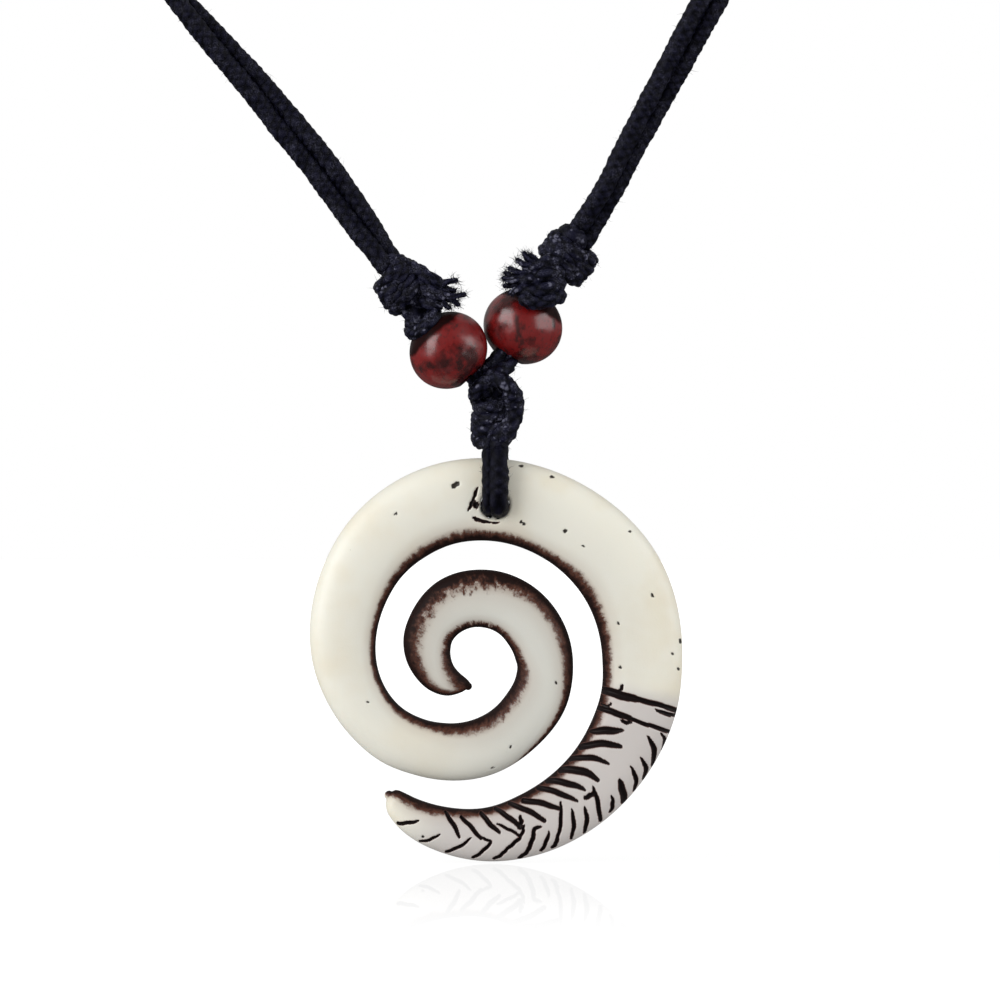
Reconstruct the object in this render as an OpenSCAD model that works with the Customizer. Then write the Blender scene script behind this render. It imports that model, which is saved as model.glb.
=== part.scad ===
// Necklace of doubled black cord with a flat carved spiral pendant, two wooden beads and wrapped knots.
// Millimetres, +Z up. The pendant faces -Y, its spiral lies in a plane across Y, and +X is to the right.
// The origin is on the inner side of the cords at the back of the neck, midway between the two cords.

/* [Spiral pendant] */
// Distance from the middle of the eye to the outermost edge of the arm
spiral_r = 20.3; // [18:0.1:24]
// Thickness of the ring, front to back
pendant_t = 4; // [3.2:0.1:5]
// Diameter of the drilled hole
hole_d = 3.2; // [3:0.05:3.6]
// Width of the carved fern cuts
cut_w = 0.6; // [0.3:0.05:0.9]
// Depth of the carved fern cuts
cut_depth = 0.45; // [0.2:0.05:0.8]

/* [Bail cord] */
// Width of the flattened bail cord, seen from the front
bail_w = 2.6; // [2:0.05:2.7]
// Thickness of the flattened bail cord
bail_t = 1.9; // [1.5:0.05:2.2]
// Clearance between the bail cord and the pendant's faces
bail_gap = 0.25; // [0.2:0.05:0.5]
// Height of the pendant knot's foot above the pendant's rim
bail_rise = 1.1; // [1:0.1:2]

/* [Pendant knot] */
// Outer diameter of the wraps
pendant_knot_d = 5.3; // [5:0.1:6.5]
// Height of the knot
pendant_knot_h = 6.2; // [5.5:0.1:8]

/* [Neck cord] */
// Width across the loop round the neck
neck_w = 120; // [115:1:130]
// Diameter of the waxed cord
cord_d = 1.75; // [1.5:0.05:1.9]
// Clearance between two cords that run side by side
cord_gap = 0.1; // [0.05:0.05:0.3]

/* [Beads] */
// Widest diameter of a bead
bead_d = 8; // [7.5:0.1:9]
// Length of a bead along its bore
bead_l = 6.8; // [6:0.1:7.6]
// Diameter of a bead's bore
bead_bore_d = 2.2; // [2.1:0.05:2.6]
// Length of bare cord between the pendant knot and the left bead
left_bead_rise = 1.3; // [1.1:0.1:3]
// Length of bare cord between the pendant knot and the right bead
right_bead_rise = 3.2; // [2.6:0.1:5]

/* [Sliding knots] */
// Outer diameter of the left sliding knot's wraps
left_knot_d = 5.2; // [4.8:0.1:6]
// Outer diameter of the right sliding knot's wraps
right_knot_d = 5.8; // [4.8:0.1:6.2]
// Length of a sliding knot
knot_l = 5.8; // [5:0.1:7]
// Outer diameter of the stopper knot on top of a bead
stopper_d = 4.4; // [4:0.1:5]
// Height of the stopper knot on top of a bead
stopper_h = 2.3; // [1.8:0.1:3]
// Length of the frayed yarns at a cut end
fray_l = 1.9; // [1:0.1:3]

/* [Hidden] */
$fn = 48;

cord_color = [0.05, 0.05, 0.08];
bone_color = [0.90, 0.87, 0.80];
bead_color = [0.35, 0.10, 0.09];

// How far apart the left and right leads pass each other, front to back
lead_split = cord_d + 2 * cord_gap;
// Clearance between pieces that lie on each other
seat = 0.1;
// How far a cutting shape reaches past what it cuts
over = 0.5;

// The arm of the spiral, from the tip of the fern tail round to the tip in the eye.
// The angle counts anticlockwise round the eye from +X, in degrees, seen from the front.
// The inner and outer edges are shares of spiral_r, and the thickness is a share of pendant_t.
ARM_ANGLE = 0;
ARM_INNER = 1;
ARM_OUTER = 2;
ARM_THICK = 3;
ARM = [
    // angle, inner, outer, thick
    [235.2, 0.800, 0.845, 0.25],
    [236.2, 0.782, 0.872, 0.42],
    [238.5, 0.773, 0.903, 0.56],
    [245, 0.768, 0.944, 0.70],
    [254, 0.759, 0.973, 0.82],
    [270, 0.738, 1.00, 0.92],
    [285, 0.696, 1.004, 0.97],
    [300, 0.6625, 0.998, 1.00],
    [315, 0.635, 0.99, 1.00],
    [330, 0.612, 0.984, 1.00],
    [345, 0.598, 0.982, 1.00],
    [360, 0.581, 0.976, 1.00],
    [390, 0.575, 0.994, 1.00],
    [420, 0.572, 0.984, 1.00],
    [450, 0.579, 0.9864, 1.00],
    [465, 0.582, 0.985, 1.00],
    [480, 0.577, 0.972, 1.00],
    [495, 0.571, 0.948, 1.00],
    [510, 0.557, 0.915, 1.00],
    [540, 0.533, 0.850, 1.00],
    [555, 0.512, 0.806, 0.99],
    [570, 0.477, 0.762, 0.98],
    [585, 0.424, 0.720, 0.965],
    [600, 0.370, 0.667, 0.95],
    [630, 0.279, 0.585, 0.92],
    [660, 0.211, 0.507, 0.89],
    [690, 0.179, 0.468, 0.87],
    [705, 0.168, 0.449, 0.86],
    [720, 0.151, 0.437, 0.85],
    [750, 0.136, 0.427, 0.84],
    [780, 0.140, 0.429, 0.83],
    [810, 0.150, 0.437, 0.82],
    [840, 0.166, 0.443, 0.81],
    [870, 0.178, 0.423, 0.80],
    [885, 0.172, 0.412, 0.79],
    [900, 0.1635, 0.388, 0.77],
    [915, 0.154, 0.353, 0.72],
    [930, 0.142, 0.314, 0.66],
    [945, 0.134, 0.262, 0.56],
    [954, 0.135, 0.215, 0.44],
    [960, 0.140, 0.180, 0.30],
    [962, 0.147, 0.160, 0.18]
];
// Angle between two sections of the arm away from its tips, and the angles where these even steps start and end
section_step_angle = 10;
even_from_angle = 270;
even_to_angle = 930;
// Points round one section of the arm
section_points = 16;
// How square the section is at the front and at the back, as the power of a rounded oval
front_power = 2.8;
back_power = 3.2;
// Share of the thickness in front of the section's widest line
front_share = 0.6;

// Where the hole lies: its angle round the eye, and its share of the way across the arm
hole_angle = 446;
hole_share = 0.438;

// The fern's carved cuts. Each runs from one place on the arm to another, given by angle and share across.
CUT_FROM_ANGLE = 0;
CUT_FROM_SHARE = 1;
CUT_TO_ANGLE = 2;
CUT_TO_SHARE = 3;
CUT_WIDTH = 4;
CUTS = [
    // from angle, from share, to angle, to share, width as a share of cut_w
    // the two lines that end the fern
    [347.5, 0.06, 344, 0.97, 1.3],
    [341, 0.05, 338.5, 0.96, 1.1],
    // the leaflets on the inner side
    [329, 0.12, 333, 0.44, 1.3],
    [318, 0.08, 328, 0.52, 1.2],
    [311, 0.07, 320, 0.50, 1.1],
    [305, 0.07, 313, 0.50, 1.4],
    [299, 0.08, 307, 0.48, 1.1],
    [293, 0.08, 303, 0.55, 1.1],
    [285, 0.10, 296, 0.50, 1.0],
    [281, 0.10, 290, 0.56, 1.1],
    [274, 0.10, 282, 0.50, 1.3],
    [269, 0.10, 276, 0.53, 1.2],
    [262, 0.15, 269, 0.57, 1.0],
    [256, 0.15, 263, 0.61, 1.1],
    [276.5, 0.40, 281, 0.60, 0.6],
    // the leaflets on the outer side
    [337, 0.86, 333, 0.97, 0.7],
    [334, 0.74, 328, 0.97, 1.1],
    [328.5, 0.78, 323, 0.97, 1.1],
    [323, 0.74, 319, 0.96, 1.0],
    [318, 0.70, 315, 0.95, 1.6],
    [313, 0.78, 310, 0.95, 1.0],
    [310, 0.55, 306, 0.96, 1.2],
    [304, 0.65, 300, 0.97, 1.1],
    [300, 0.60, 296, 0.96, 1.0],
    [298, 0.44, 291, 0.97, 1.0],
    [290, 0.73, 287, 0.96, 0.9],
    [286.5, 0.64, 281, 0.96, 1.1],
    [281, 0.60, 273, 0.96, 1.0],
    [271.5, 0.70, 267, 0.96, 0.8],
    [269, 0.60, 272, 0.70, 0.7],
    [259, 0.93, 266, 0.64, 0.8],
    [251, 0.92, 256, 0.64, 0.8],
    [242, 0.90, 248, 0.56, 0.8]
];
// Stations along one cut, and how narrow a cut is at its ends and at its floor
cut_stations = 5;
cut_end_share = 0.45;
cut_floor_share = 0.4;

// How far each cord chain leans from upright: positive leans to +X
left_bead_lean = -42;
right_bead_lean = 26;
left_knot_lean = -36;
right_knot_lean = 33;
// How far the left sliding knot sits off the stopper's middle, toward +X
left_knot_shift = 0.9;
// Angle at which each sliding knot's frayed end leaves it, from the knot's own upright
left_fray_angle = 118;
right_fray_angle = -105;
// How far the cut end's cord stands out of the wraps before its yarns part
fray_stub = 0.3;

// The two neck cords' shared middle line, from the left sliding knot round the neck to the right one.
// Its places count from the top of the pendant knot. The facing turns from straight ahead, 0, by the left
// shoulder, 90, and the nape, 180, to straight ahead again, 360: the cords lie side by side across it.
// The pair is twisted above the knots, so that one cord lies partly in front of the other there.
// The places are those of a loop 120 wide, and neck_w stretches them evenly.
NECK_ROUTE_W = 120;
NECK_ROUTE = [
    // x, y, z, facing
    [-15, -0.3, 18.5, -14],
    [-17.9, -0.3, 22.5, -6],
    [-21.1, -0.1, 26.4, -18],
    [-24.3, 0, 30.3, -42],
    [-31.6, 0, 38.7, -68],
    [-38.4, 3, 48, -56],
    [-45, 9, 58.5, -18],
    [-51.5, 19, 70, 24],
    [-57, 33, 82, 58],
    [-60.5, 50, 92.5, 82],
    [-60, 68, 99.5, 98],
    [-54.5, 85, 103, 116],
    [-44, 99, 104.2, 134],
    [-30, 109, 104.3, 152],
    [-15, 114, 104.2, 168],
    [0, 115, 104.2, 180],
    [15, 114, 104.2, 192],
    [30.5, 109, 104.3, 208],
    [45, 98.5, 104.2, 226],
    [55.5, 84, 103, 244],
    [60, 66, 99, 262],
    [57.5, 48, 92, 278],
    [50.5, 30, 82, 291],
    [42, 16, 70.5, 302],
    [34, 7.5, 59.5, 314],
    [27.5, 2.5, 49, 324],
    [21.6, 0, 38.7, 328],
    [17.85, 0, 31.8, 319],
    [13.8, 0.2, 24.3, 306],
    [11.35, 0.2, 19.5, 303]
];
// The pair's facing where it enters each sliding knot
left_knot_facing = -58;
right_knot_facing = 312;
// How far off the right sliding knot's middle the cords enter it, toward +X
right_neck_shift = 0.6;
nape_row = 15;
neck_rings = 63;
cord_sides = 8;
neck_stretch = neck_w / NECK_ROUTE_W;

// Place of the pendant knot's top in the part's frame, from the route's middle row at the nape
knot_top = [0, cord_d / 2 - neck_stretch * NECK_ROUTE[nape_row][1], -neck_stretch * NECK_ROUTE[nape_row][2]];

// Cubic curve through a table's rows, worked out for one column at a value of the first column
function row_below(table, a, i = 0) = i >= len(table) - 2 || table[i + 1][0] > a ? i : row_below(table, a, i + 1);
function slope(table, i, c) =
    let (i0 = max(i - 1, 0), i1 = min(i + 1, len(table) - 1))
    (table[i1][c] - table[i0][c]) / (table[i1][0] - table[i0][0]);
function hermite(v0, m0, v1, m1, span, t) =
    (2 * pow(t, 3) - 3 * t * t + 1) * v0 + (pow(t, 3) - 2 * t * t + t) * span * m0
    + (3 * t * t - 2 * pow(t, 3)) * v1 + (pow(t, 3) - t * t) * span * m1;
function curve_at(table, a, c) =
    let (i = row_below(table, a), span = table[i + 1][0] - table[i][0], t = (a - table[i][0]) / span)
    hermite(table[i][c], slope(table, i, c), table[i + 1][c], slope(table, i + 1, c), span, t);

// The arm's sizes at an angle, in millimetres
function arm_inner(a) = spiral_r * curve_at(ARM, a, ARM_INNER);
function arm_outer(a) = spiral_r * curve_at(ARM, a, ARM_OUTER);
function arm_thick(a) = pendant_t * curve_at(ARM, a, ARM_THICK);
function arm_radius(a, share) = arm_inner(a) + share * (arm_outer(a) - arm_inner(a));
// Where the section's widest line lies, front to back, so that the back of the ring is flush
widest_y = (front_share - 0.5) * pendant_t;
function front_y(a, share) =
    widest_y - front_share * arm_thick(a) * pow(1 - pow(abs(2 * share - 1), front_power), 1 / front_power);

// Where the hole and the rim above it lie, from the middle of the eye
hole_r = arm_radius(hole_angle, hole_share);
eye = -hole_r * [cos(hole_angle), 0, sin(hole_angle)];
rim_h = arm_outer(hole_angle) - hole_r;
hole_z = -(pendant_knot_h + bail_rise + rim_h);

// One section of the arm as points round a rounded oval, from the outer edge by the front to the inner edge
function section(a) =
    let (mid = arm_radius(a, 0.5), half = (arm_outer(a) - arm_inner(a)) / 2, thick = arm_thick(a))
    [for (k = [0 : section_points - 1])
        let (
            turn = 360 * k / section_points,
            front = turn < 180,
            power = 2 / (front ? front_power : back_power),
            across = mid + half * sign(cos(turn)) * pow(abs(cos(turn)), power),
            deep = (front ? front_share : 1 - front_share) * thick * pow(abs(sin(turn)), power)
        )
        [across * cos(a), widest_y + (front ? -deep : deep), across * sin(a)]];

// Angles of all the arm's sections: the table's own rows at the tips, and even steps between
arm_angles = concat(
    [for (row = ARM) if (row[ARM_ANGLE] < even_from_angle) row[ARM_ANGLE]],
    [for (a = [even_from_angle : section_step_angle : even_to_angle]) a],
    [for (row = ARM) if (row[ARM_ANGLE] > even_to_angle) row[ARM_ANGLE]]
);

// Faces of a skin through rings of points, closed by a flat face at each end
function skin_faces(rings, sides) = concat(
    [[for (k = [0 : sides - 1]) k]],
    [for (i = [0 : rings - 2]) for (k = [0 : sides - 1]) for (half = [0, 1])
        let (k1 = (k + 1) % sides, a = i * sides, b = (i + 1) * sides)
        half == 0 ? [a + k, b + k, b + k1] : [a + k, b + k1, a + k1]],
    [[for (k = [sides - 1 : -1 : 0]) (rings - 1) * sides + k]]
);
module skin(rings) {
    polyhedron(
        points = [for (ring = rings) for (p = ring) p],
        faces = skin_faces(len(rings), len(rings[0])),
        convexity = 6
    );
}

function unit(v) = v / norm(v);
function lean_dir(lean) = [sin(lean), 0, cos(lean)];
// Moves children to a place and leans their own upright to a lean in the picture plane
module leaning(place, lean) {
    translate(place) rotate([0, lean, 0]) children();
}

// One carved cut: a narrow prism that follows the domed face, tapered to its ends and its floor
module fern_cut(row) {
    top_y = widest_y - pendant_t;
    skin([for (i = [0 : cut_stations - 1])
        let (
            t = i / (cut_stations - 1),
            a = row[CUT_FROM_ANGLE] + t * (row[CUT_TO_ANGLE] - row[CUT_FROM_ANGLE]),
            share = row[CUT_FROM_SHARE] + t * (row[CUT_TO_SHARE] - row[CUT_FROM_SHARE]),
            p0 = arm_radius(row[CUT_FROM_ANGLE], row[CUT_FROM_SHARE])
                * [cos(row[CUT_FROM_ANGLE]), 0, sin(row[CUT_FROM_ANGLE])],
            p1 = arm_radius(row[CUT_TO_ANGLE], row[CUT_TO_SHARE])
                * [cos(row[CUT_TO_ANGLE]), 0, sin(row[CUT_TO_ANGLE])],
            side = cross(unit(p1 - p0), [0, 1, 0]),
            swell = cut_end_share + (1 - cut_end_share) * sin(180 * t),
            half = cut_w * row[CUT_WIDTH] * swell / 2,
            mid = p0 + t * (p1 - p0),
            floor_y = front_y(a, share) + cut_depth * swell
        )
        [mid - half * side + [0, top_y, 0],
         mid + half * side + [0, top_y, 0],
         mid + cut_floor_share * half * side + [0, floor_y, 0],
         mid - cut_floor_share * half * side + [0, floor_y, 0]]]);
}

// The pendant: the swept arm, less the drilled hole and the fern's cuts
module spiral() {
    color(bone_color) translate(knot_top + [0, 0, hole_z]) difference() {
        translate(eye) skin([for (a = arm_angles) section(a)]);
        rotate([90, 0, 0]) cylinder(d = hole_d, h = 3 * pendant_t, center = true);
        translate(eye) for (row = CUTS) fern_cut(row);
    }
}

// One leg of the bail cord's middle line, from the knot's foot down to the hole's middle. The leg stays
// clear of the pendant's face and closes in only above the rim. Its places count from the hole's middle.
leg_y = pendant_t / 2 + bail_gap + bail_t / 2;
LEG = [
    // distance from the pendant's middle plane, height
    [leg_y - 1.2, rim_h + bail_rise],
    [leg_y - 1.05, rim_h + 0.7 * bail_rise],
    [leg_y - 0.45, rim_h + 0.2 * bail_rise],
    [leg_y - 0.1, rim_h - 0.4],
    [leg_y, rim_h - 1.2],
    [leg_y, 1.4],
    [leg_y - 0.25, 0.6],
    [leg_y - 0.9, 0.1],
    [leg_y - 2, 0]
];
leg_last = len(LEG) - 1;
BAIL_ROUTE = concat(
    [for (i = [0 : leg_last]) [0, -LEG[i][0], LEG[i][1]]],
    [for (i = [leg_last : -1 : 0]) [0, LEG[i][0], LEG[i][1]]]
);
bail_sides = 12;

// Direction of a route at one of its points, upright at both ends of the bail
function bail_dir(i) =
    i == 0 ? [0, 0, -1] : i == len(BAIL_ROUTE) - 1 ? [0, 0, 1] : unit(BAIL_ROUTE[i + 1] - BAIL_ROUTE[i - 1]);

// The flattened cord through the hole
module bail_loop() {
    color(cord_color) translate(knot_top + [0, 0, hole_z])
        skin([for (i = [0 : len(BAIL_ROUTE) - 1])
            let (across = [1, 0, 0], up = cross(bail_dir(i), across))
            [for (k = [0 : bail_sides - 1])
                let (turn = 360 * k / bail_sides)
                BAIL_ROUTE[i] + bail_w / 2 * cos(turn) * across + bail_t / 2 * sin(turn) * up]]);
}

// A barrel of cord wraps round an upright core, with its flat foot at the origin.
// The wraps lean a little, as a wound cord does, and one end of the cord crosses over their front.
module wrapped_knot(d, h, wraps, wrap_lean, cross_side) {
    wrap_d = (h + over) / wraps;
    wrap_r = wrap_d / 2;
    core_d = d - 1.1 * wrap_d;
    intersection() {
        union() {
            cylinder(d = core_d, h = h);
            for (i = [0 : wraps - 1])
                translate([0, 0, (i + 0.5) * h / wraps]) rotate([0, wrap_lean, 0])
                    rotate_extrude() translate([d / 2 - wrap_r, 0]) circle(r = wrap_r, $fn = 20);
            translate([cross_side * (d / 2 - 0.9 * wrap_r), -0.25 * d, h / 2])
                rotate([0, cross_side * 14, 0]) {
                    cylinder(r = wrap_r, h = 0.45 * h, center = true, $fn = 20);
                    translate([0, 0, 0.225 * h]) sphere(r = wrap_r, $fn = 20);
                    translate([0, 0, -0.225 * h]) sphere(r = wrap_r, $fn = 20);
                }
        }
        translate([0, 0, h / 2]) cube([2 * d, 2 * d, h], center = true);
    }
}

// The knot that gathers the bail cord, its foot over the pendant's rim
module pendant_knot() {
    color(cord_color) translate(knot_top - [0, 0, pendant_knot_h])
        wrapped_knot(pendant_knot_d, pendant_knot_h, 4, 6, 1);
}

// Where the two leads leave the top of the pendant knot
left_lead_start = [-1.5, -lead_split / 2, 0];
right_lead_start = [-0.1, lead_split / 2, 0];
// How far along its lead each bead's middle, and each stopper's foot, lies
left_bead_at = left_bead_rise + bead_l / 2;
right_bead_at = right_bead_rise + bead_l / 2;
left_stopper_at = left_bead_rise + bead_l + seat;
right_stopper_at = right_bead_rise + bead_l + seat;

// A straight lead from the pendant knot's flat top to the foot of a stopper knot
module lead(start, lean, length) {
    block = 10 * cord_d;
    color(cord_color) translate(knot_top) difference() {
        leaning(start, lean) translate([0, 0, -2 * cord_d]) cylinder(d = cord_d, h = length + 2 * cord_d);
        translate([-block / 2, -block / 2, -block]) cube(block);
    }
}
module left_lead() {
    lead(left_lead_start, left_bead_lean, left_stopper_at);
}
module right_lead() {
    lead(right_lead_start, right_bead_lean, right_stopper_at);
}

// A bead: a flattened ball with a small flat face at each end and a true bore, turned about its bore
bead_face_d = bead_bore_d + 1.2;
bead_face_turn = acos(bead_face_d / bead_d);
function bead_profile(n) = [for (i = [0 : n])
    let (turn = bead_face_turn * (2 * i / n - 1))
    [bead_d / 2 * cos(turn), bead_l / 2 * sin(turn) / sin(bead_face_turn)]];
module bead() {
    difference() {
        rotate_extrude() polygon(concat([[0, -bead_l / 2]], bead_profile(20), [[0, bead_l / 2]]));
        cylinder(d = bead_bore_d, h = 2 * bead_l, center = true);
    }
}
module left_bead() {
    color(bead_color) translate(knot_top)
        leaning(left_lead_start + left_bead_at * lean_dir(left_bead_lean), left_bead_lean) bead();
}
module right_bead() {
    color(bead_color) translate(knot_top)
        leaning(right_lead_start + right_bead_at * lean_dir(right_bead_lean), right_bead_lean) bead();
}

// A stopper knot: two wraps whose foot seats on the bead and whose top is square to the sliding knot
module stopper(lean, next_lean) {
    wrap_r = stopper_h / 3.4;
    block = 4 * stopper_d;
    difference() {
        union() {
            translate([0, 0, -over]) cylinder(d = stopper_d - 2.4 * wrap_r, h = 2 * stopper_h + over);
            for (z = [0.3, 0.7])
                translate([0, 0, z * stopper_h]) rotate([0, 6, 0])
                    rotate_extrude() translate([stopper_d / 2 - wrap_r, 0]) circle(r = wrap_r, $fn = 20);
        }
        translate([-block / 2, -block / 2, -block]) cube(block);
        translate([0, 0, stopper_h]) rotate([0, next_lean - lean, 0])
            translate([-block / 2, -block / 2, 0]) cube(block);
    }
}
left_stopper_foot = left_lead_start + left_stopper_at * lean_dir(left_bead_lean);
right_stopper_foot = right_lead_start + right_stopper_at * lean_dir(right_bead_lean);
module left_stopper() {
    color(cord_color) translate(knot_top)
        leaning(left_stopper_foot, left_bead_lean) stopper(left_bead_lean, left_knot_lean);
}
module right_stopper() {
    color(cord_color) translate(knot_top)
        leaning(right_stopper_foot, right_bead_lean) stopper(right_bead_lean, right_knot_lean);
}

// Where each sliding knot's foot lies: on the stopper's top
left_knot_foot = left_stopper_foot + stopper_h * lean_dir(left_bead_lean)
    + left_knot_shift * lean_dir(left_knot_lean + 90);
right_knot_foot = right_stopper_foot + stopper_h * lean_dir(right_bead_lean);

// The cut end of a wrap: a stub of cord that leaves the knot sideways, with its yarns spread apart
YARN_SPREAD = [[0, 0], [34, 20], [38, 95], [30, 165], [36, 235], [32, 310]];
module frayed_end(reach) {
    cylinder(d = cord_d, h = reach);
    for (yarn = YARN_SPREAD)
        translate([0, 0, reach - cord_d / 4]) rotate([yarn[0], 0, yarn[1]])
            cylinder(d1 = 0.45 * cord_d, d2 = 0.28 * cord_d, h = fray_l + cord_d / 4, $fn = 16);
}

// A sliding knot: wraps of one cord round the other, with a frayed end at the side
module sliding_knot(d, fray_angle, fray_up, cross_side) {
    wrapped_knot(d, knot_l, 4, -7, cross_side);
    translate([0, 0, fray_up * knot_l]) rotate([0, fray_angle, 0]) frayed_end(d / 2 + fray_stub);
}
module left_sliding_knot() {
    color(cord_color) translate(knot_top)
        leaning(left_knot_foot, left_knot_lean) sliding_knot(left_knot_d, left_fray_angle, 0.45, -1);
}
module right_sliding_knot() {
    color(cord_color) translate(knot_top)
        leaning(right_knot_foot, right_knot_lean) sliding_knot(right_knot_d, right_fray_angle, 0.4, 1);
}

// The neck cords' shared middle line with its ends on the sliding knots
left_knot_head = left_knot_foot + knot_l * lean_dir(left_knot_lean);
right_knot_head = right_knot_foot + knot_l * lean_dir(right_knot_lean);
neck_line = concat(
    [concat(left_knot_head, [left_knot_facing])],
    [for (row = NECK_ROUTE) [neck_stretch * row[0], neck_stretch * row[1], neck_stretch * row[2], row[3]]],
    [concat(right_knot_head + right_neck_shift * lean_dir(right_knot_lean + 90), [right_knot_facing])]
);
// The line's points numbered, so that curve_at can run through them
neck_table = [for (i = [0 : len(neck_line) - 1]) concat([i], neck_line[i])];
function neck_place(t) = [for (c = [1 : 3]) curve_at(neck_table, t, c)];
function neck_facing(t) = curve_at(neck_table, t, 4);
neck_last = len(neck_line) - 1;
function neck_dir(t) =
    t <= 0 ? lean_dir(left_knot_lean)
    : t >= neck_last ? -lean_dir(right_knot_lean)
    : unit(neck_place(min(t + 0.05, neck_last)) - neck_place(max(t - 0.05, 0)));

// One neck cord: a tube beside the shared line, on its inner side (1) or its outer side (-1)
module neck_cord(inward) {
    color(cord_color) translate(knot_top)
        skin([for (i = [0 : neck_rings - 1])
            let (
                t = neck_last * i / (neck_rings - 1),
                dir = neck_dir(t),
                facing = neck_facing(t),
                out = [-sin(facing), -cos(facing), 0],
                across = unit(cross(dir, out)),
                up = cross(across, dir),
                mid = neck_place(t) + inward * (cord_d + cord_gap) / 2 * across
            )
            [for (k = [0 : cord_sides - 1])
                let (turn = 360 * (k + 0.5) / cord_sides)
                mid + cord_d / 2 * (cos(turn) * across + sin(turn) * up)]]);
}
module inner_neck_cord() {
    neck_cord(1);
}
module outer_neck_cord() {
    neck_cord(-1);
}

spiral();
bail_loop();
pendant_knot();
left_lead();
right_lead();
left_bead();
right_bead();
left_stopper();
right_stopper();
left_sliding_knot();
right_sliding_knot();
inner_neck_cord();
outer_neck_cord();
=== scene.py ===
from math import cos, pi, radians, sin, tau

import bpy
import numpy as np
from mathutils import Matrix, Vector


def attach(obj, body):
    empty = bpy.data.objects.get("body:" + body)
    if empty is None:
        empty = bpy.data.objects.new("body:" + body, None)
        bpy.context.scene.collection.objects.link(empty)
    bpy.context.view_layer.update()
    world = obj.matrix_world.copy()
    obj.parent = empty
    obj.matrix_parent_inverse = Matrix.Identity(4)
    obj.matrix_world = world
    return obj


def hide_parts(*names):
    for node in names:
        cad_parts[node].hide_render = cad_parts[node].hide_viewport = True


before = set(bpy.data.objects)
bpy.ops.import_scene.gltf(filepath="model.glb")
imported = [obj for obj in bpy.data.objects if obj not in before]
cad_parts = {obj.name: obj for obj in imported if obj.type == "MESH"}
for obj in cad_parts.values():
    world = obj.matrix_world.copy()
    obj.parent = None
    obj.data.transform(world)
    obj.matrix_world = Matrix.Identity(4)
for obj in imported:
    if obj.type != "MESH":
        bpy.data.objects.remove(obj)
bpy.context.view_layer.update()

# The camera looks straight at the pendant's front, from a little over half a metre away.
# The picture is square, and takes in 100 mm at the pendant, as the photograph does.
pendant_y = -0.114125
picture_width = 0.1
camera_distance = 0.6
sensor_width = 36
camera_place = (0.0005, pendant_y - camera_distance, -0.11566)
bpy.ops.object.select_all(action="DESELECT")
bpy.ops.object.camera_add(location=camera_place, rotation=(pi / 2, 0, 0))
camera = bpy.context.object
camera.name = "camera"
camera.data.sensor_width = sensor_width
camera.data.lens = sensor_width * camera_distance / picture_width
camera.data.clip_start = 0.05
camera.data.clip_end = 10
bpy.context.scene.camera = camera

# The pendant is cast in bone-look resin as one flat coil, and a fern is cut into the front of its tail.
# Dark stain is rubbed over it and wiped off again. It stays in the cuts, the pits and along the inner edges.
# The hole is drawn 0.3 mm narrower than the CAD's, and the cord through it fills it.
spiral_r = 0.0203
pendant_t = 0.004
hole_d = 0.0029
hole_angle = 446
hole_share = 0.438
hole_place = Vector((0, pendant_y, -0.116157))
cut_depth = 0.00045
ARM = [
    # angle round the eye, inner and outer edge as shares of spiral_r, thickness as a share of pendant_t
    (235.2, 0.800, 0.845, 0.25),
    (236.2, 0.782, 0.872, 0.42),
    (238.5, 0.773, 0.903, 0.56),
    (245, 0.768, 0.944, 0.70),
    (254, 0.759, 0.973, 0.82),
    (270, 0.738, 1.00, 0.92),
    (285, 0.696, 1.004, 0.97),
    (300, 0.6625, 0.998, 1.00),
    (315, 0.635, 0.99, 1.00),
    (330, 0.612, 0.984, 1.00),
    (345, 0.598, 0.982, 1.00),
    (360, 0.581, 0.976, 1.00),
    (390, 0.575, 0.994, 1.00),
    (420, 0.572, 0.984, 1.00),
    (450, 0.579, 0.9864, 1.00),
    (465, 0.582, 0.985, 1.00),
    (480, 0.577, 0.972, 1.00),
    (495, 0.571, 0.948, 1.00),
    (510, 0.557, 0.915, 1.00),
    (540, 0.533, 0.850, 1.00),
    (555, 0.512, 0.806, 0.99),
    (570, 0.477, 0.762, 0.98),
    (585, 0.424, 0.720, 0.965),
    (600, 0.370, 0.667, 0.95),
    (630, 0.279, 0.585, 0.92),
    (660, 0.211, 0.507, 0.89),
    (690, 0.179, 0.468, 0.87),
    (705, 0.168, 0.449, 0.86),
    (720, 0.151, 0.437, 0.85),
    (750, 0.136, 0.427, 0.84),
    (780, 0.140, 0.429, 0.83),
    (810, 0.150, 0.437, 0.82),
    (840, 0.166, 0.443, 0.81),
    (870, 0.178, 0.423, 0.80),
    (885, 0.172, 0.412, 0.79),
    (900, 0.1635, 0.388, 0.77),
    (915, 0.154, 0.353, 0.72),
    (930, 0.142, 0.314, 0.66),
    (945, 0.134, 0.262, 0.56),
    (954, 0.135, 0.215, 0.44),
    (960, 0.140, 0.180, 0.30),
    (962, 0.147, 0.160, 0.18),
]
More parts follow.
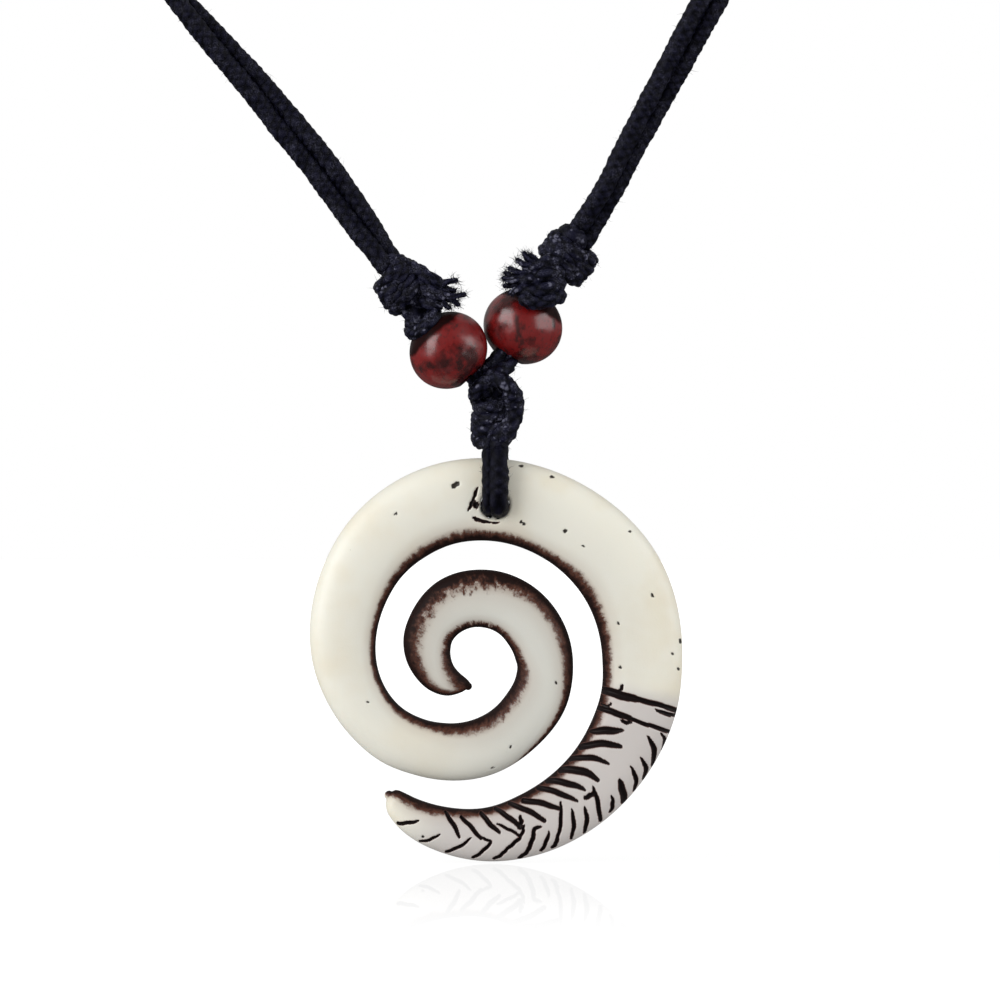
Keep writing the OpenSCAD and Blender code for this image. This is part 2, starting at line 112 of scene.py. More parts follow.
STAIN = [
    # angle round the eye, width in mm of the band along the inner and the outer edge, how brushy it is
    (235.5, 0.7, 0.1, 0.2),
    (245, 1.0, 0.1, 0.2),
    (262, 0.75, 0.0, 0.2),
    (300, 0.85, 0.0, 0.2),
    (345, 0.85, 0.0, 0.3),
    (375, 1.0, 0.0, 0.4),
    (395, 1.2, 0.0, 0.4),
    (420, 0.9, 0.0, 0.3),
    (450, 1.1, 0.0, 0.4),
    (480, 1.0, 0.0, 0.3),
    (520, 0.6, 0.0, 0.1),
    (560, 0.65, 0.0, 0.1),
    (590, 0.95, 0.0, 0.2),
    (630, 1.5, 0.1, 0.3),
    (660, 1.4, 0.35, 0.4),
    (690, 1.3, 0.7, 0.4),
    (720, 0.9, 1.1, 0.2),
    (760, 0.7, 1.35, 0.3),
    (800, 0.6, 1.75, 0.9),
    (840, 0.65, 1.85, 0.9),
    (880, 0.8, 1.75, 0.5),
    (905, 0.95, 1.45, 0.3),
    (930, 1.3, 0.9, 0.1),
    (950, 1.6, 0.7, 0.0),
    (970, 1.8, 0.6, 0.0),
]
FERN_CUTS = [
    # start, half way and end, each across and up from the hole in mm; width in mm; how wide its ends stay
    (10.3, -18.3, 12.3, -18.9, 14.2, -19.4, 0.95, 0.9, 0.7),
    (13.0, -19.0, 15.5, -19.7, 18.2, -20.5, 0.55, 0.9, 0.9),
    (16.0, -20.4, 17.0, -20.8, 18.1, -21.0, 0.4, 0.3, 0.8),
    (10.6, -19.8, 11.4, -20.0, 11.7, -19.7, 0.3, 0.7, 0.3),
    (12.4, -18.6, 12.6, -18.3, 12.7, -17.9, 0.3, 0.6, 0.2),
    (10.3, -20.2, 11.9, -20.7, 13.5, -21.3, 0.68, 0.9, 0.8),
    (13.0, -21.1, 14.9, -21.8, 17.4, -22.6, 0.42, 0.8, 1.0),
    (12.6, -21.5, 13.1, -21.7, 13.7, -21.6, 0.4, 0.6, 0.3),
    (9.5, -22.6, 11.1, -22.5, 12.8, -22.5, 0.85, 0.5, 0.2),
    (8.5, -24.2, 10.5, -23.8, 12.6, -24.1, 0.75, 1.0, 0.5),
    (7.5, -25.4, 9.5, -25.2, 11.4, -25.8, 0.62, 1.0, 0.3),
    (6.5, -26.5, 8.5, -26.5, 10.3, -27.4, 0.85, 0.9, 0.55),
    (5.2, -27.5, 7.0, -27.7, 9.0, -28.4, 0.7, 1.0, 0.35),
    (4.3, -28.2, 6.3, -28.7, 8.3, -29.6, 0.62, 1.0, 0.2),
    (2.8, -29.5, 4.5, -29.7, 6.4, -30.3, 0.62, 1.0, 0.6),
    (1.4, -29.8, 3.5, -30.6, 5.0, -31.5, 0.58, 0.9, 0.7),
    (0.0, -30.3, 1.3, -31.1, 2.6, -32.2, 0.55, 0.9, 0.7),
    (0.2, -31.8, 1.3, -32.3, 2.5, -33.0, 0.28, 0.5, 0.8),
    (-1.4, -30.7, -0.5, -31.8, 0.5, -32.7, 0.52, 0.9, 0.5),
    (-3.4, -31.1, -2.4, -32.1, -1.4, -33.3, 0.45, 0.8, 0.7),
    (-5.0, -30.6, -4.2, -31.8, -3.5, -33.2, 0.48, 0.7, 0.4),
    (16.6, -22.8, 16.95, -23.6, 16.7, -24.4, 0.42, 0.4, 0.8),
    (15.2, -23.0, 15.85, -24.4, 15.7, -26.0, 0.6, 0.2, 0.6),
    (14.5, -25.2, 15.05, -26.3, 14.8, -27.4, 0.52, 0.2, 0.6),
    (13.5, -26.1, 14.05, -27.3, 13.9, -28.5, 0.5, 0.2, 0.6),
    (12.4, -27.4, 12.75, -28.6, 12.9, -29.6, 0.8, 0.35, 0.9),
    (11.6, -29.0, 11.75, -29.8, 11.5, -30.6, 0.45, 0.2, 0.7),
    (9.8, -28.1, 10.25, -29.7, 10.5, -31.5, 0.5, 0.4, 0.8),
    (9.0, -29.2, 9.4, -29.0, 9.9, -28.7, 0.5, 0.9, 0.7),
    (8.9, -30.0, 9.15, -31.3, 8.9, -32.7, 0.5, 0.2, 0.6),
    (7.6, -30.2, 7.85, -31.7, 7.6, -33.3, 0.46, 0.2, 0.6),
    (6.5, -29.6, 6.55, -31.6, 6.2, -33.3, 0.4, 0.5, 0.9),
    (6.2, -33.2, 6.1, -33.7, 5.7, -34.2, 0.45, 0.9, 0.8),
    (5.4, -32.5, 5.1, -33.6, 4.6, -34.5, 0.42, 0.2, 0.8),
    (4.6, -32.1, 4.1, -32.2, 3.8, -32.8, 0.45, 0.5, 0.9),
    (3.9, -32.4, 3.65, -33.6, 3.3, -34.4, 0.5, 0.8, 0.9),
    (3.4, -34.2, 3.0, -34.8, 2.4, -35.2, 0.45, 0.9, 0.8),
    (2.5, -31.0, 2.6, -31.5, 2.4, -32.2, 0.5, 0.5, 0.8),
    (2.9, -31.9, 2.75, -32.6, 2.4, -33.3, 0.36, 0.5, 0.9),
    (2.4, -33.3, 1.8, -33.8, 1.0, -34.5, 0.42, 0.9, 0.8),
    (1.1, -34.4, 0.6, -34.9, -0.1, -35.3, 0.4, 0.9, 0.8),
    (-1.6, -33.1, -1.0, -33.3, -0.4, -33.6, 0.26, 0.6, 0.9),
    (-0.4, -33.6, -1.2, -34.5, -2.2, -35.2, 0.38, 0.9, 0.8),
    (-2.4, -33.2, -3.6, -34.1, -4.9, -34.6, 0.36, 0.4, 0.9),
    (-5.5, -32.8, -6.3, -33.3, -7.5, -33.6, 0.32, 0.4, 0.8),
    (-7.6, -31.5, -8.5, -31.7, -9.7, -31.8, 0.4, 0.4, 1.0),
]
PITS = [
    # place across and up from the hole, and the pit's diameter, in mm
    (-4.1, 1.9, 0.62),
    (-3.8, 2.1, 0.6),
    (-9.9, -0.9, 0.3),
    (2.6, 3.9, 0.35),
    (5.7, 2.8, 0.36),
    (7.0, -2.6, 0.42),
    (2.6, -1.7, 0.35),
    (8.8, -4.1, 0.26),
    (15.7, -9.0, 0.36),
    (13.5, -2.7, 0.3),
    (12.3, -11.8, 0.32),
    (12.5, -16.2, 0.34),
    (18.5, -13.6, 0.4),
    (18.3, -16.4, 0.3),
    (17.7, -14.9, 0.28),
    (-12.7, -19.6, 0.26),
    (1.6, -24.1, 0.28),
    (6.1, -17.7, 0.28),
    (-0.2, -26.2, 0.3),
    (-9.2, -31.8, 0.34),
    (-7.2, -33.1, 0.3),
    (2.9, -1.9, 0.3),
]
CHIPS = [
    # each chip is a short groove: both ends across and up from the hole, and its width, in mm
    (-1.75, 1.7, -2.2, 0.5, 0.36),
    (-2.1, 0.7, -2.65, -0.55, 0.34),
    (-2.0, 0.3, -1.8, -0.3, 0.75),
    (-2.2, -1.25, -1.4, -1.6, 0.42),
    (-1.6, -1.55, -0.5, -1.75, 0.34),
    (-0.4, -1.75, 0.4, -1.8, 0.2),
]


def along_table(table, at, column):
    """One column of a table as a smooth curve through its rows, read at many values of the first column."""
    rows = np.array(table, dtype=float)
    x, y = rows[:, 0], rows[:, column]
    slope = np.gradient(y)
    slope[1:-1] = (y[2:] - y[:-2]) / (x[2:] - x[:-2])
    slope[0] = (y[1] - y[0]) / (x[1] - x[0])
    slope[-1] = (y[-1] - y[-2]) / (x[-1] - x[-2])
    i = np.clip(np.searchsorted(x, at, side="right") - 1, 0, len(x) - 2)
    span = x[i + 1] - x[i]
    t = (at - x[i]) / span
    start = (2 * t**3 - 3 * t**2 + 1) * y[i] + (t**3 - 2 * t**2 + t) * span * slope[i]
    return start + (3 * t**2 - 2 * t**3) * y[i + 1] + (t**3 - t**2) * span * slope[i + 1]


def arm_point(angle, share):
    """A place on the arm, across and up from the eye, by its angle and its share of the arm's width."""
    inner = spiral_r * along_table(ARM, angle, 1)
    outer = spiral_r * along_table(ARM, angle, 2)
    r = inner + share * (outer - inner)
    return r * np.cos(np.radians(angle)), r * np.sin(np.radians(angle))


def smooth(edge0, edge1, x):
    """A soft step from 0 at edge0 to 1 at edge1."""
    t = np.clip((x - edge0) / (edge1 - edge0), 0, 1)
    return t * t * (3 - 2 * t)


def even_section(front_points, back_points):
    """The arm's rounded section as shares: across from -1 at the inner edge to 1 at the outer edge, and depth
    from -1 at the front to 1 at the back. Its points are evenly spaced along the front and along the back."""
    across, deep = [], []
    for power, points, side in ((2.8, front_points, -1), (3.2, back_points, 1)):
        turn = np.linspace(0, pi, 2001)
        x = np.sign(np.cos(turn)) * np.abs(np.cos(turn)) ** (2 / power)
        y = np.abs(np.sin(turn)) ** (2 / power)
        if side > 0:
            x = -x
        run = np.concatenate([[0], np.cumsum(np.hypot(np.diff(2.1 * x), np.diff(y)))])
        at = np.linspace(0, run[-1], points + 1)[:-1]
        across.append(np.interp(at, run, x))
        deep.append(side * np.interp(at, run, y))
    return np.concatenate(across), np.concatenate(deep)


def groove(across, upward, start, end, width, bow=0.0, wave=0.0, start_share=0.35, end_share=0.35):
    """How deep a groove from start to end is at each place, from 0 outside it to 1 on its floor. It narrows
    to start_share and end_share of its width, and bow is how far its middle lies off the straight line."""
    length = np.hypot(end[0] - start[0], end[1] - start[1])
    dx, dz = (end[0] - start[0]) / length, (end[1] - start[1]) / length
    t = ((across - start[0]) * dx + (upward - start[1]) * dz) / length
    inside = np.clip(t, 0, 1)
    bent = bow * 4 * inside * (1 - inside) + 0.00003 * np.sin(11 * inside + wave)
    off = (upward - start[1]) * dx - (across - start[0]) * dz - bent
    past = np.abs(t - inside) * length
    narrow = np.where(inside < 0.5, start_share, end_share)
    swell = narrow + (1 - narrow) * np.sin(pi * inside) ** 0.7
    away = np.hypot(off, 1.3 * past) / (width * swell / 2)
    return np.clip(1 - away, 0, 1) ** 0.75 * (0.5 + 0.5 * swell)


def rolled_grid(name, places, along, around, marks):
    """A flat grid of faces rolled up round a piece: places has one row of points for each ring, along and
    around are their UVs in metres, and marks are values for the material, one for all points or one each."""
    rings, points = places.shape[:2]
    bpy.ops.object.select_all(action="DESELECT")
    bpy.ops.mesh.primitive_grid_add(x_subdivisions=points, y_subdivisions=rings - 1, size=1)
    piece = bpy.context.object
    piece.name = piece.data.name = name
    mesh = piece.data

    def wrapped(values):
        return np.concatenate([values, values[:, :1]], axis=1)

    mesh.vertices.foreach_set("co", wrapped(places).reshape(-1))
    corners = np.empty(len(mesh.loops), dtype=np.int32)
    mesh.loops.foreach_get("vertex_index", corners)
    uv_along = np.repeat(along, points + 1)
    uv = np.stack([uv_along[corners], np.tile(around, rings)[corners]], axis=1)
    mesh.uv_layers.active.data.foreach_set("uv", uv.reshape(-1))
    for label, values in marks.items():
        layer = mesh.attributes.new(label, "FLOAT", "POINT")
        layer.data.foreach_set("value", wrapped(np.broadcast_to(values, (rings, points))).reshape(-1))
    return piece


# Rings of the arm, close together at the fern and wider apart elsewhere, and three more to round off each tip
fern_end = 352
fern_ring_gap = 0.000115
plain_ring_gap = 0.00018
fine = np.linspace(ARM[0][0], ARM[-1][0], 4000)
arm_middle = spiral_r * (along_table(ARM, fine, 1) + along_table(ARM, fine, 2)) / 2
ring_gap = np.where(fine < fern_end, fern_ring_gap, plain_ring_gap)
ring_number = np.concatenate([[0], np.cumsum(np.radians(np.diff(fine)) * (arm_middle / ring_gap)[1:])])
angles = np.interp(np.arange(0, ring_number[-1], 1), ring_number, fine)
tip_turns = np.radians([30, 60, 90])
shrink = np.concatenate([np.cos(tip_turns)[::-1], np.ones(len(angles)), np.cos(tip_turns)])[:, None]
beyond = np.concatenate([-np.sin(tip_turns)[::-1], np.zeros(len(angles)), np.sin(tip_turns)])[:, None]
angles = np.concatenate([[angles[0]] * 3, angles, [angles[-1]] * 3])[:, None]

section_across, section_deep = even_section(72, 34)
inner_edge = spiral_r * along_table(ARM, angles, 1)
outer_edge = spiral_r * along_table(ARM, angles, 2)
thick = pendant_t * along_table(ARM, angles, 3)
half_width = (outer_edge - inner_edge) / 2
radius = (inner_edge + outer_edge) / 2 + half_width * section_across * shrink
tip_out = beyond * np.minimum(half_width, thick / 2)
turned = np.radians(angles)
eye = [-v for v in arm_point(hole_angle, hole_share)]
across = eye[0] + radius * np.cos(turned) - tip_out * np.sin(turned)
upward = eye[1] + radius * np.sin(turned) + tip_out * np.cos(turned)
is_front = (section_deep < -0.2) & (radius > 0)
near_hole = np.abs(angles - hole_angle) < 40

# The points round the hole are drawn outwards, so that it opens as a clean circle with a rounded lip
hole_r = hole_d / 2
opened_r = 0.55 * hole_r
drawn_r = 2 * hole_r
lip_r = 0.0003
from_hole = np.where(near_hole, np.hypot(across, upward), 1)
opened_share = np.clip((from_hole - opened_r) / (drawn_r - opened_r), 0, 1)
drawn_to = hole_r + opened_share * (drawn_r - hole_r)
drawn = np.where(from_hole < drawn_r, drawn_to / np.maximum(from_hole, 1e-9), 1)
in_hole = from_hole < opened_r
across = across * np.where(in_hole, 1, drawn)
upward = upward * np.where(in_hole, 1, drawn)
past_lip = np.clip((from_hole * drawn - hole_r) / lip_r, 0, 1)
lip_drop = lip_r * (1 - np.sqrt(1 - (1 - past_lip) ** 2))

# Fern cuts, chips and pits of trapped air are all sunk from the front
chip_share = 0.85
pit_depth = 0.00025
cut = np.zeros(across.shape)
for x0, z0, xm, zm, x1, z1, width, start_share, end_share in FERN_CUTS:
    length = np.hypot(x1 - x0, z1 - z0)
    half_way = ((xm - x0) * (x1 - x0) + (zm - z0) * (z1 - z0)) / length**2
    bow = ((zm - z0) * (x1 - x0) - (xm - x0) * (z1 - z0)) / length / (4 * half_way * (1 - half_way))
    ends = (x0 / 1000, z0 / 1000), (x1 / 1000, z1 / 1000)
    depth = groove(across, upward, *ends, width / 1000, bow / 1000, x0, start_share, end_share)
    cut = np.maximum(cut, np.where(is_front & (angles < fern_end), depth, 0))
for x0, z0, x1, z1, width in CHIPS:
    depth = groove(across, upward, (x0 / 1000, z0 / 1000), (x1 / 1000, z1 / 1000), width / 1000)
    cut = np.maximum(cut, np.where(is_front & near_hole, chip_share * depth, 0))
pit = np.zeros(across.shape)
for pit_across, pit_up, pit_d in PITS:
    away = np.hypot(across - pit_across / 1000, upward - pit_up / 1000) / (pit_d / 2000)
    pit = np.maximum(pit, np.where(is_front, np.clip(1 - away, 0, 1) ** 0.6, 0))
hand_wave = 0.00003 * np.sin(700 * across + 2) * np.sin(600 * upward + 1)
front_side = section_deep < 0
front_share = 0.6
deep = np.where(front_side, front_share, 1 - front_share) * section_deep * thick * shrink
deep = deep + (front_share - 0.5) * pendant_t + cut_depth * cut + pit_depth * pit
deep = deep + np.where(front_side, 1, -1) * lip_drop + hand_wave

# How far into the stained bands each point lies: 1 at the edge, 0 at the band's limit, and below 0 past it
width_mm = 2000 * half_width
from_inner = (section_across + 1) / 2 * width_mm
band_share = np.where(front_side, 1, 0.6)
inner_band = np.maximum(along_table(STAIN, angles, 1) * band_share, 0.15)
outer_width = along_table(STAIN, angles, 2)
outer_band = np.maximum(outer_width * band_share, 0.1)
outer_reach = 4 * smooth(0.02, 0.3, outer_width) - 3 - (width_mm - from_inner) / outer_band
stain = np.maximum(1 - from_inner / inner_band, outer_reach)
fern_tone = (1 - smooth(343, 352, angles)) * smooth(238, 262, angles) * smooth(0.5, -0.1, section_deep)
whorl_tone = smooth(535, 665, angles)
# Greyer towards the inner edge: partly patina, partly painted shade where the face slopes away
inner_edge_patina_and_shade = 0.45 * smooth(0.9, -0.6, section_across)
places = np.stack([across, pendant_y + deep, hole_place.z + upward], axis=2)
# The UVs run along the arm, measured at one point of its section, and once round the section
measured = 18
section_length = 0.024
ring_run = np.hypot(np.diff(across[:, measured]), np.diff(upward[:, measured]))
ring_run = np.concatenate([[0], np.cumsum(ring_run)])
section_run = np.linspace(0, section_length, len(section_across) + 1)
spiral = rolled_grid("spiral_pendant", places, ring_run, section_run, {
    "cut": cut,
    "pit": pit,
    "stain": np.clip(stain, -3, 1),
    "brushy": along_table(STAIN, angles, 3),
    "grey_and_edge_shade": np.maximum(np.maximum(fern_tone, whorl_tone), inner_edge_patina_and_shade),
    "fern": fern_tone,
})


def edit_faces(piece, chosen):
    """Goes into edit mode on a piece with only the chosen faces selected."""
    bpy.ops.object.mode_set(mode="EDIT")
    bpy.ops.mesh.select_mode(type="FACE")
    bpy.ops.mesh.select_all(action="DESELECT")
    bpy.ops.object.mode_set(mode="OBJECT")
    piece.data.polygons.foreach_set("select", chosen)
    bpy.ops.object.mode_set(mode="EDIT")


def close_seam():
    """In edit mode, joins the points that lie on each other, and turns the faces outwards."""
    bpy.ops.mesh.select_mode(type="VERT")
    bpy.ops.mesh.select_all(action="SELECT")
    bpy.ops.mesh.remove_doubles(threshold=0.000001)
    bpy.ops.mesh.normals_make_consistent(inside=False)


faces_in_hole = in_hole[:-1] & in_hole[1:]
faces_in_hole = faces_in_hole & np.roll(faces_in_hole, -1, axis=1)
edit_faces(spiral, faces_in_hole.reshape(-1))
bpy.ops.mesh.delete(type="FACE")
close_seam()
bpy.ops.mesh.select_all(action="DESELECT")
bpy.ops.mesh.select_non_manifold(use_wire=False, use_multi_face=False, use_non_contiguous=False,
                                 use_verts=False)
bpy.ops.object.mode_set(mode="OBJECT")
rim = [v for v in spiral.data.vertices if v.select]
for point in rim:
    out = Vector((point.co.x, 0, point.co.z - hole_place.z))
    out = out.normalized() * hole_r
    point.co.x, point.co.z = out.x, hole_place.z + out.z
bpy.ops.object.mode_set(mode="EDIT")
bpy.ops.mesh.bridge_edge_loops(number_cuts=8)
bpy.ops.mesh.select_all(action="SELECT")
bpy.ops.mesh.normals_make_consistent(inside=False)
bpy.ops.object.mode_set(mode="OBJECT")
bpy.ops.object.shade_smooth()


def plain_material(name, **values):
    """A new material with its node tree and its Principled shader, whose named inputs are set."""
    material = bpy.data.materials.new(name)
    material.use_nodes = True
    tree = material.node_tree
    shader = tree.nodes["Principled BSDF"]
    for socket, value in values.items():
        shader.inputs[socket.replace("_", " ")].default_value = value
    return material, tree, shader


def add(tree, kind, inputs=(), **settings):
    """Adds a node with its settings, and gives its inputs, in order or by name, a value or a link each."""
    made = tree.nodes.new(kind)
    for setting, value in settings.items():
        setattr(made, setting, value)
    pairs = inputs.items() if isinstance(inputs, dict) else enumerate(inputs)
    for key, value in pairs:
        if isinstance(value, bpy.types.NodeSocket):
            tree.links.new(value, made.inputs[key])
        elif value is not None:
            made.inputs[key].default_value = value
    return made


def calc(tree, operation, *values):
    """A sum or other calculation on one to three values."""
    return add(tree, "ShaderNodeMath", values, operation=operation).outputs[0]


def ramp(tree, value, low, high, to_low=0.0, to_high=1.0):
    """A soft step of a value from low to high."""
    limits = (value, low, high, to_low, to_high)
    return add(tree, "ShaderNodeMapRange", limits, interpolation_type="SMOOTHSTEP").outputs[0]


def mark(tree, name):
    """A value kept at the mesh's points."""
    return add(tree, "ShaderNodeAttribute", attribute_name=name).outputs["Fac"]


def blend_colour(tree, share, first, second):
    """One colour over another by a share; each colour is a link or a linear RGB."""
    first, second = ((*colour, 1) if isinstance(colour, tuple) else colour for colour in (first, second))
    return add(tree, "ShaderNodeMix", {0: share, 6: first, 7: second}, data_type="RGBA").outputs[2]


def tint(tree, colour, share, strength, over):
    """Another colour laid over the first by a share times a strength."""
    return blend_colour(tree, calc(tree, "MULTIPLY", share, strength), colour, over)


def noise(tree, place, scale, detail=3.0, roughness=0.5):
    settings = {"Vector": place, "Scale": scale, "Detail": detail, "Roughness": roughness}
    return add(tree, "ShaderNodeTexNoise", settings).outputs[0]


def feed(tree, shader, **links):
    """Links values to a shader's named inputs."""
    for socket, link in links.items():
        tree.links.new(link, shader.inputs[socket.replace("_", " ")])


def bump(tree, height, strength):
    """A height in metres as a change of the surface's normal."""
    settings = {"Strength": strength, "Distance": 1.0, "Height": height}
    return add(tree, "ShaderNodeBump", settings).outputs[0]


def speck_group():
    """Small round specks scattered in clusters, used on the resin and the waxed cord."""
    group = bpy.data.node_groups.new("specks", "ShaderNodeTree")
    group.interface.new_socket("Place", in_out="INPUT", socket_type="NodeSocketVector")
    for name in ("Per Metre", "Size", "Share", "Cluster"):
        group.interface.new_socket(name, in_out="INPUT", socket_type="NodeSocketFloat")
    group.interface.new_socket("Mask", in_out="OUTPUT", socket_type="NodeSocketFloat")
    given = group.nodes.new("NodeGroupInput").outputs
    cells = add(group, "ShaderNodeTexVoronoi", {"Vector": given["Place"], "Scale": given["Per Metre"]})
    chance = add(group, "ShaderNodeSeparateColor", (cells.outputs["Color"],)).outputs[0]
    cluster = ramp(group, noise(group, given["Place"], given["Cluster"], 2), 0.4, 0.65)
    there = calc(group, "LESS_THAN", chance, calc(group, "MULTIPLY", given["Share"], cluster))
    own_size = calc(group, "MULTIPLY", given["Size"], calc(group, "MULTIPLY_ADD", chance, 2.0, 0.5))
    near = calc(group, "DIVIDE", cells.outputs["Distance"], own_size)
    round_mask = ramp(group, near, 1.0, 0.5)
    out = group.nodes.new("NodeGroupOutput")
    group.links.new(calc(group, "MULTIPLY", round_mask, there), out.inputs["Mask"])
    return group


specks = speck_group()


def speck_mask(tree, place, per_metre, size, share, cluster):
    given = {"Place": place, "Per Metre": per_metre, "Size": size, "Share": share, "Cluster": cluster}
    return add(tree, "ShaderNodeGroup", given, node_tree=specks).outputs["Mask"]


# Bone-look resin: cream on the ring, greyer on the whorl and the fern, and greyer towards the inner edges
# with patina and painted shade
resin, tree, shader = plain_material("bone_resin", Subsurface_Weight=0.06, Subsurface_Scale=0.0006,
                                     Specular_IOR_Level=0.4)
shader.inputs["Subsurface Radius"].default_value = (1.0, 0.7, 0.5)
place = add(tree, "ShaderNodeTexCoord").outputs["Object"]
flat = add(tree, "ShaderNodeTexCoord").outputs["UV"]
teeth_place = add(tree, "ShaderNodeMapping", (flat, (0, 0, 0), (0, 0, 0), (1700, 520, 1))).outputs[0]
brush_place = add(tree, "ShaderNodeMapping", (flat, (0, 0, 0), (0, 0, 0), (900, 450, 1))).outputs[0]
teeth = noise(tree, teeth_place, 1.0, 3, 0.6)
brushed = noise(tree, brush_place, 1.0, 2, 0.5)
grain = noise(tree, place, 5200, 3, 0.65)
cloud = noise(tree, place, 160, 3, 0.5)
blotches = noise(tree, place, 1300, 3, 0.6)
cream = blend_colour(tree, ramp(tree, cloud, 0.38, 0.68), (0.765, 0.745, 0.65), (0.73, 0.68, 0.55))
# The whorl's and the fern's grey, and the patina and painted shade towards the inner edges
toned = blend_colour(tree, mark(tree, "grey_and_edge_shade"), cream, (0.58, 0.572, 0.52))
toned = tint(tree, toned, mark(tree, "fern"), 0.75, (0.52, 0.475, 0.462))
# A brown-grey halo beside the stained bands: partly the stain's thin wash, partly painted shade
edge_halo_wash_and_shade = ramp(tree, mark(tree, "stain"), -1.7, 0.3)
toned = tint(tree, toned, edge_halo_wash_and_shade, 0.3, (0.31, 0.215, 0.16))
toned = tint(tree, toned, ramp(tree, mark(tree, "stain"), -0.45, 0.25), blotches, (0.17, 0.085, 0.05))
brushy = mark(tree, "brushy")
toothed = calc(tree, "MULTIPLY", calc(tree, "SUBTRACT", teeth, 0.5), calc(tree, "MULTIPLY", brushy, 2.1))
ragged = calc(tree, "MULTIPLY_ADD", calc(tree, "SUBTRACT", brushed, 0.5), 0.7, toothed)
blotchy = calc(tree, "MULTIPLY_ADD", brushy, 0.5, 0.3)
ragged = calc(tree, "MULTIPLY_ADD", calc(tree, "SUBTRACT", blotches, 0.5), blotchy, ragged)
ragged = calc(tree, "MULTIPLY_ADD", calc(tree, "SUBTRACT", grain, 0.5), 0.35, ragged)
band = calc(tree, "ADD", mark(tree, "stain"), ragged)
fringe = blend_colour(tree, ramp(tree, grain, 0.35, 0.65), (0.040, 0.014, 0.011), (0.115, 0.046, 0.029))
blackened = ramp(tree, calc(tree, "MULTIPLY_ADD", brushy, 0.1, band), 0.28, 0.8)
brown = blend_colour(tree, blackened, fringe, (0.013, 0.0055, 0.0045))
stained = blend_colour(tree, ramp(tree, band, -0.15, 0.28), toned, brown)
carved = calc(tree, "MULTIPLY_ADD", grain, 0.16, calc(tree, "ADD", mark(tree, "cut"), -0.08))
cut_brown = blend_colour(tree, ramp(tree, carved, 0.1, 0.3), (0.12, 0.055, 0.045), (0.011, 0.007, 0.007))
stained = blend_colour(tree, ramp(tree, carved, 0.02, 0.14), stained, cut_brown)
pitted = ramp(tree, mark(tree, "pit"), 0.05, 0.35)
dots = speck_mask(tree, place, 900, 0.07, 0.14, 150)
spots = calc(tree, "MAXIMUM", pitted, calc(tree, "MULTIPLY", dots, 0.6))
coloured = blend_colour(tree, spots, stained, (0.030, 0.023, 0.017))
rough = calc(tree, "MAXIMUM", ramp(tree, cloud, 0.3, 0.7, 0.40, 0.50), ramp(tree, band, 0.1, 0.5, 0.0, 0.62))
dulled = calc(tree, "MAXIMUM", ramp(tree, band, 0.0, 0.4), ramp(tree, carved, 0.02, 0.2))
shine = ramp(tree, dulled, 0.0, 1.0, 0.5, 0.12)
height = calc(tree, "MULTIPLY_ADD", grain, 0.00002, calc(tree, "MULTIPLY", dots, -0.00006))
feed(tree, shader, Base_Color=coloured, Roughness=rough, Specular_IOR_Level=shine,
     Normal=bump(tree, height, 0.6))
spiral.data.materials.append(resin)
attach(spiral, "pendant")
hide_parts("spiral")

# The cord is cotton, braided round and drawn through black wax that has a navy tint. It is stiff and a
# little lumpy, and a few fibres stand out of it. One short doubled length of it, the bail, is threaded
# through the pendant's hole.
cord_d = 0.00175
cord_gap = 0.0001
knot_top = Vector((0, pendant_y, -0.1042))


def braid_height(turn, run, stitch, strands=4):
    """How proud the braid is at a share of a turn round it and a run along it, from 0 in its gaps to 1 on its
    crowns. The strands wander a little, and no two crowns are of one height."""
    wander = 0.16 * np.sin(run / 0.00083 + 1) + 0.12 * np.sin(run / 0.00031 + tau * turn)
    a = strands * turn + run / stitch + wander
    b = strands * turn - run / stitch - wander
    a_over = (np.floor(a) + np.floor(b)) % 2 == 0
    over = np.where(a_over, a % 1, b % 1)
    under = np.where(a_over, b % 1, a % 1)
    scatter = np.sin((np.floor(a) % strands) * 12.99 + np.floor(run / stitch * 2) * 78.23) * 43758.5
    own_height = 0.55 + 0.45 * (scatter - np.floor(scatter))
    return np.sin(pi * over) ** 0.75 * np.sin(pi * under) ** 0.4 * own_height


def evenly(route, gap):
    """The points of a route at even gaps along it, and how far along each lies."""
    route = np.array(route, dtype=float)
    run = np.concatenate([[0], np.cumsum(np.linalg.norm(np.diff(route, axis=0), axis=1))])
    at = np.linspace(0, run[-1], max(int(run[-1] / gap), 4))
    return np.stack([np.interp(at, run, route[:, c]) for c in range(3)], axis=1), at


def rounded_route(corners, steps=24):
    """A smooth route through given points."""
    corners = np.array(corners, dtype=float)
    numbered = np.concatenate([np.arange(len(corners))[:, None], corners], axis=1)
    at = np.linspace(0, len(corners) - 1, steps * (len(corners) - 1) + 1)
    return np.stack([along_table(numbered, at, c) for c in (1, 2, 3)], axis=1)


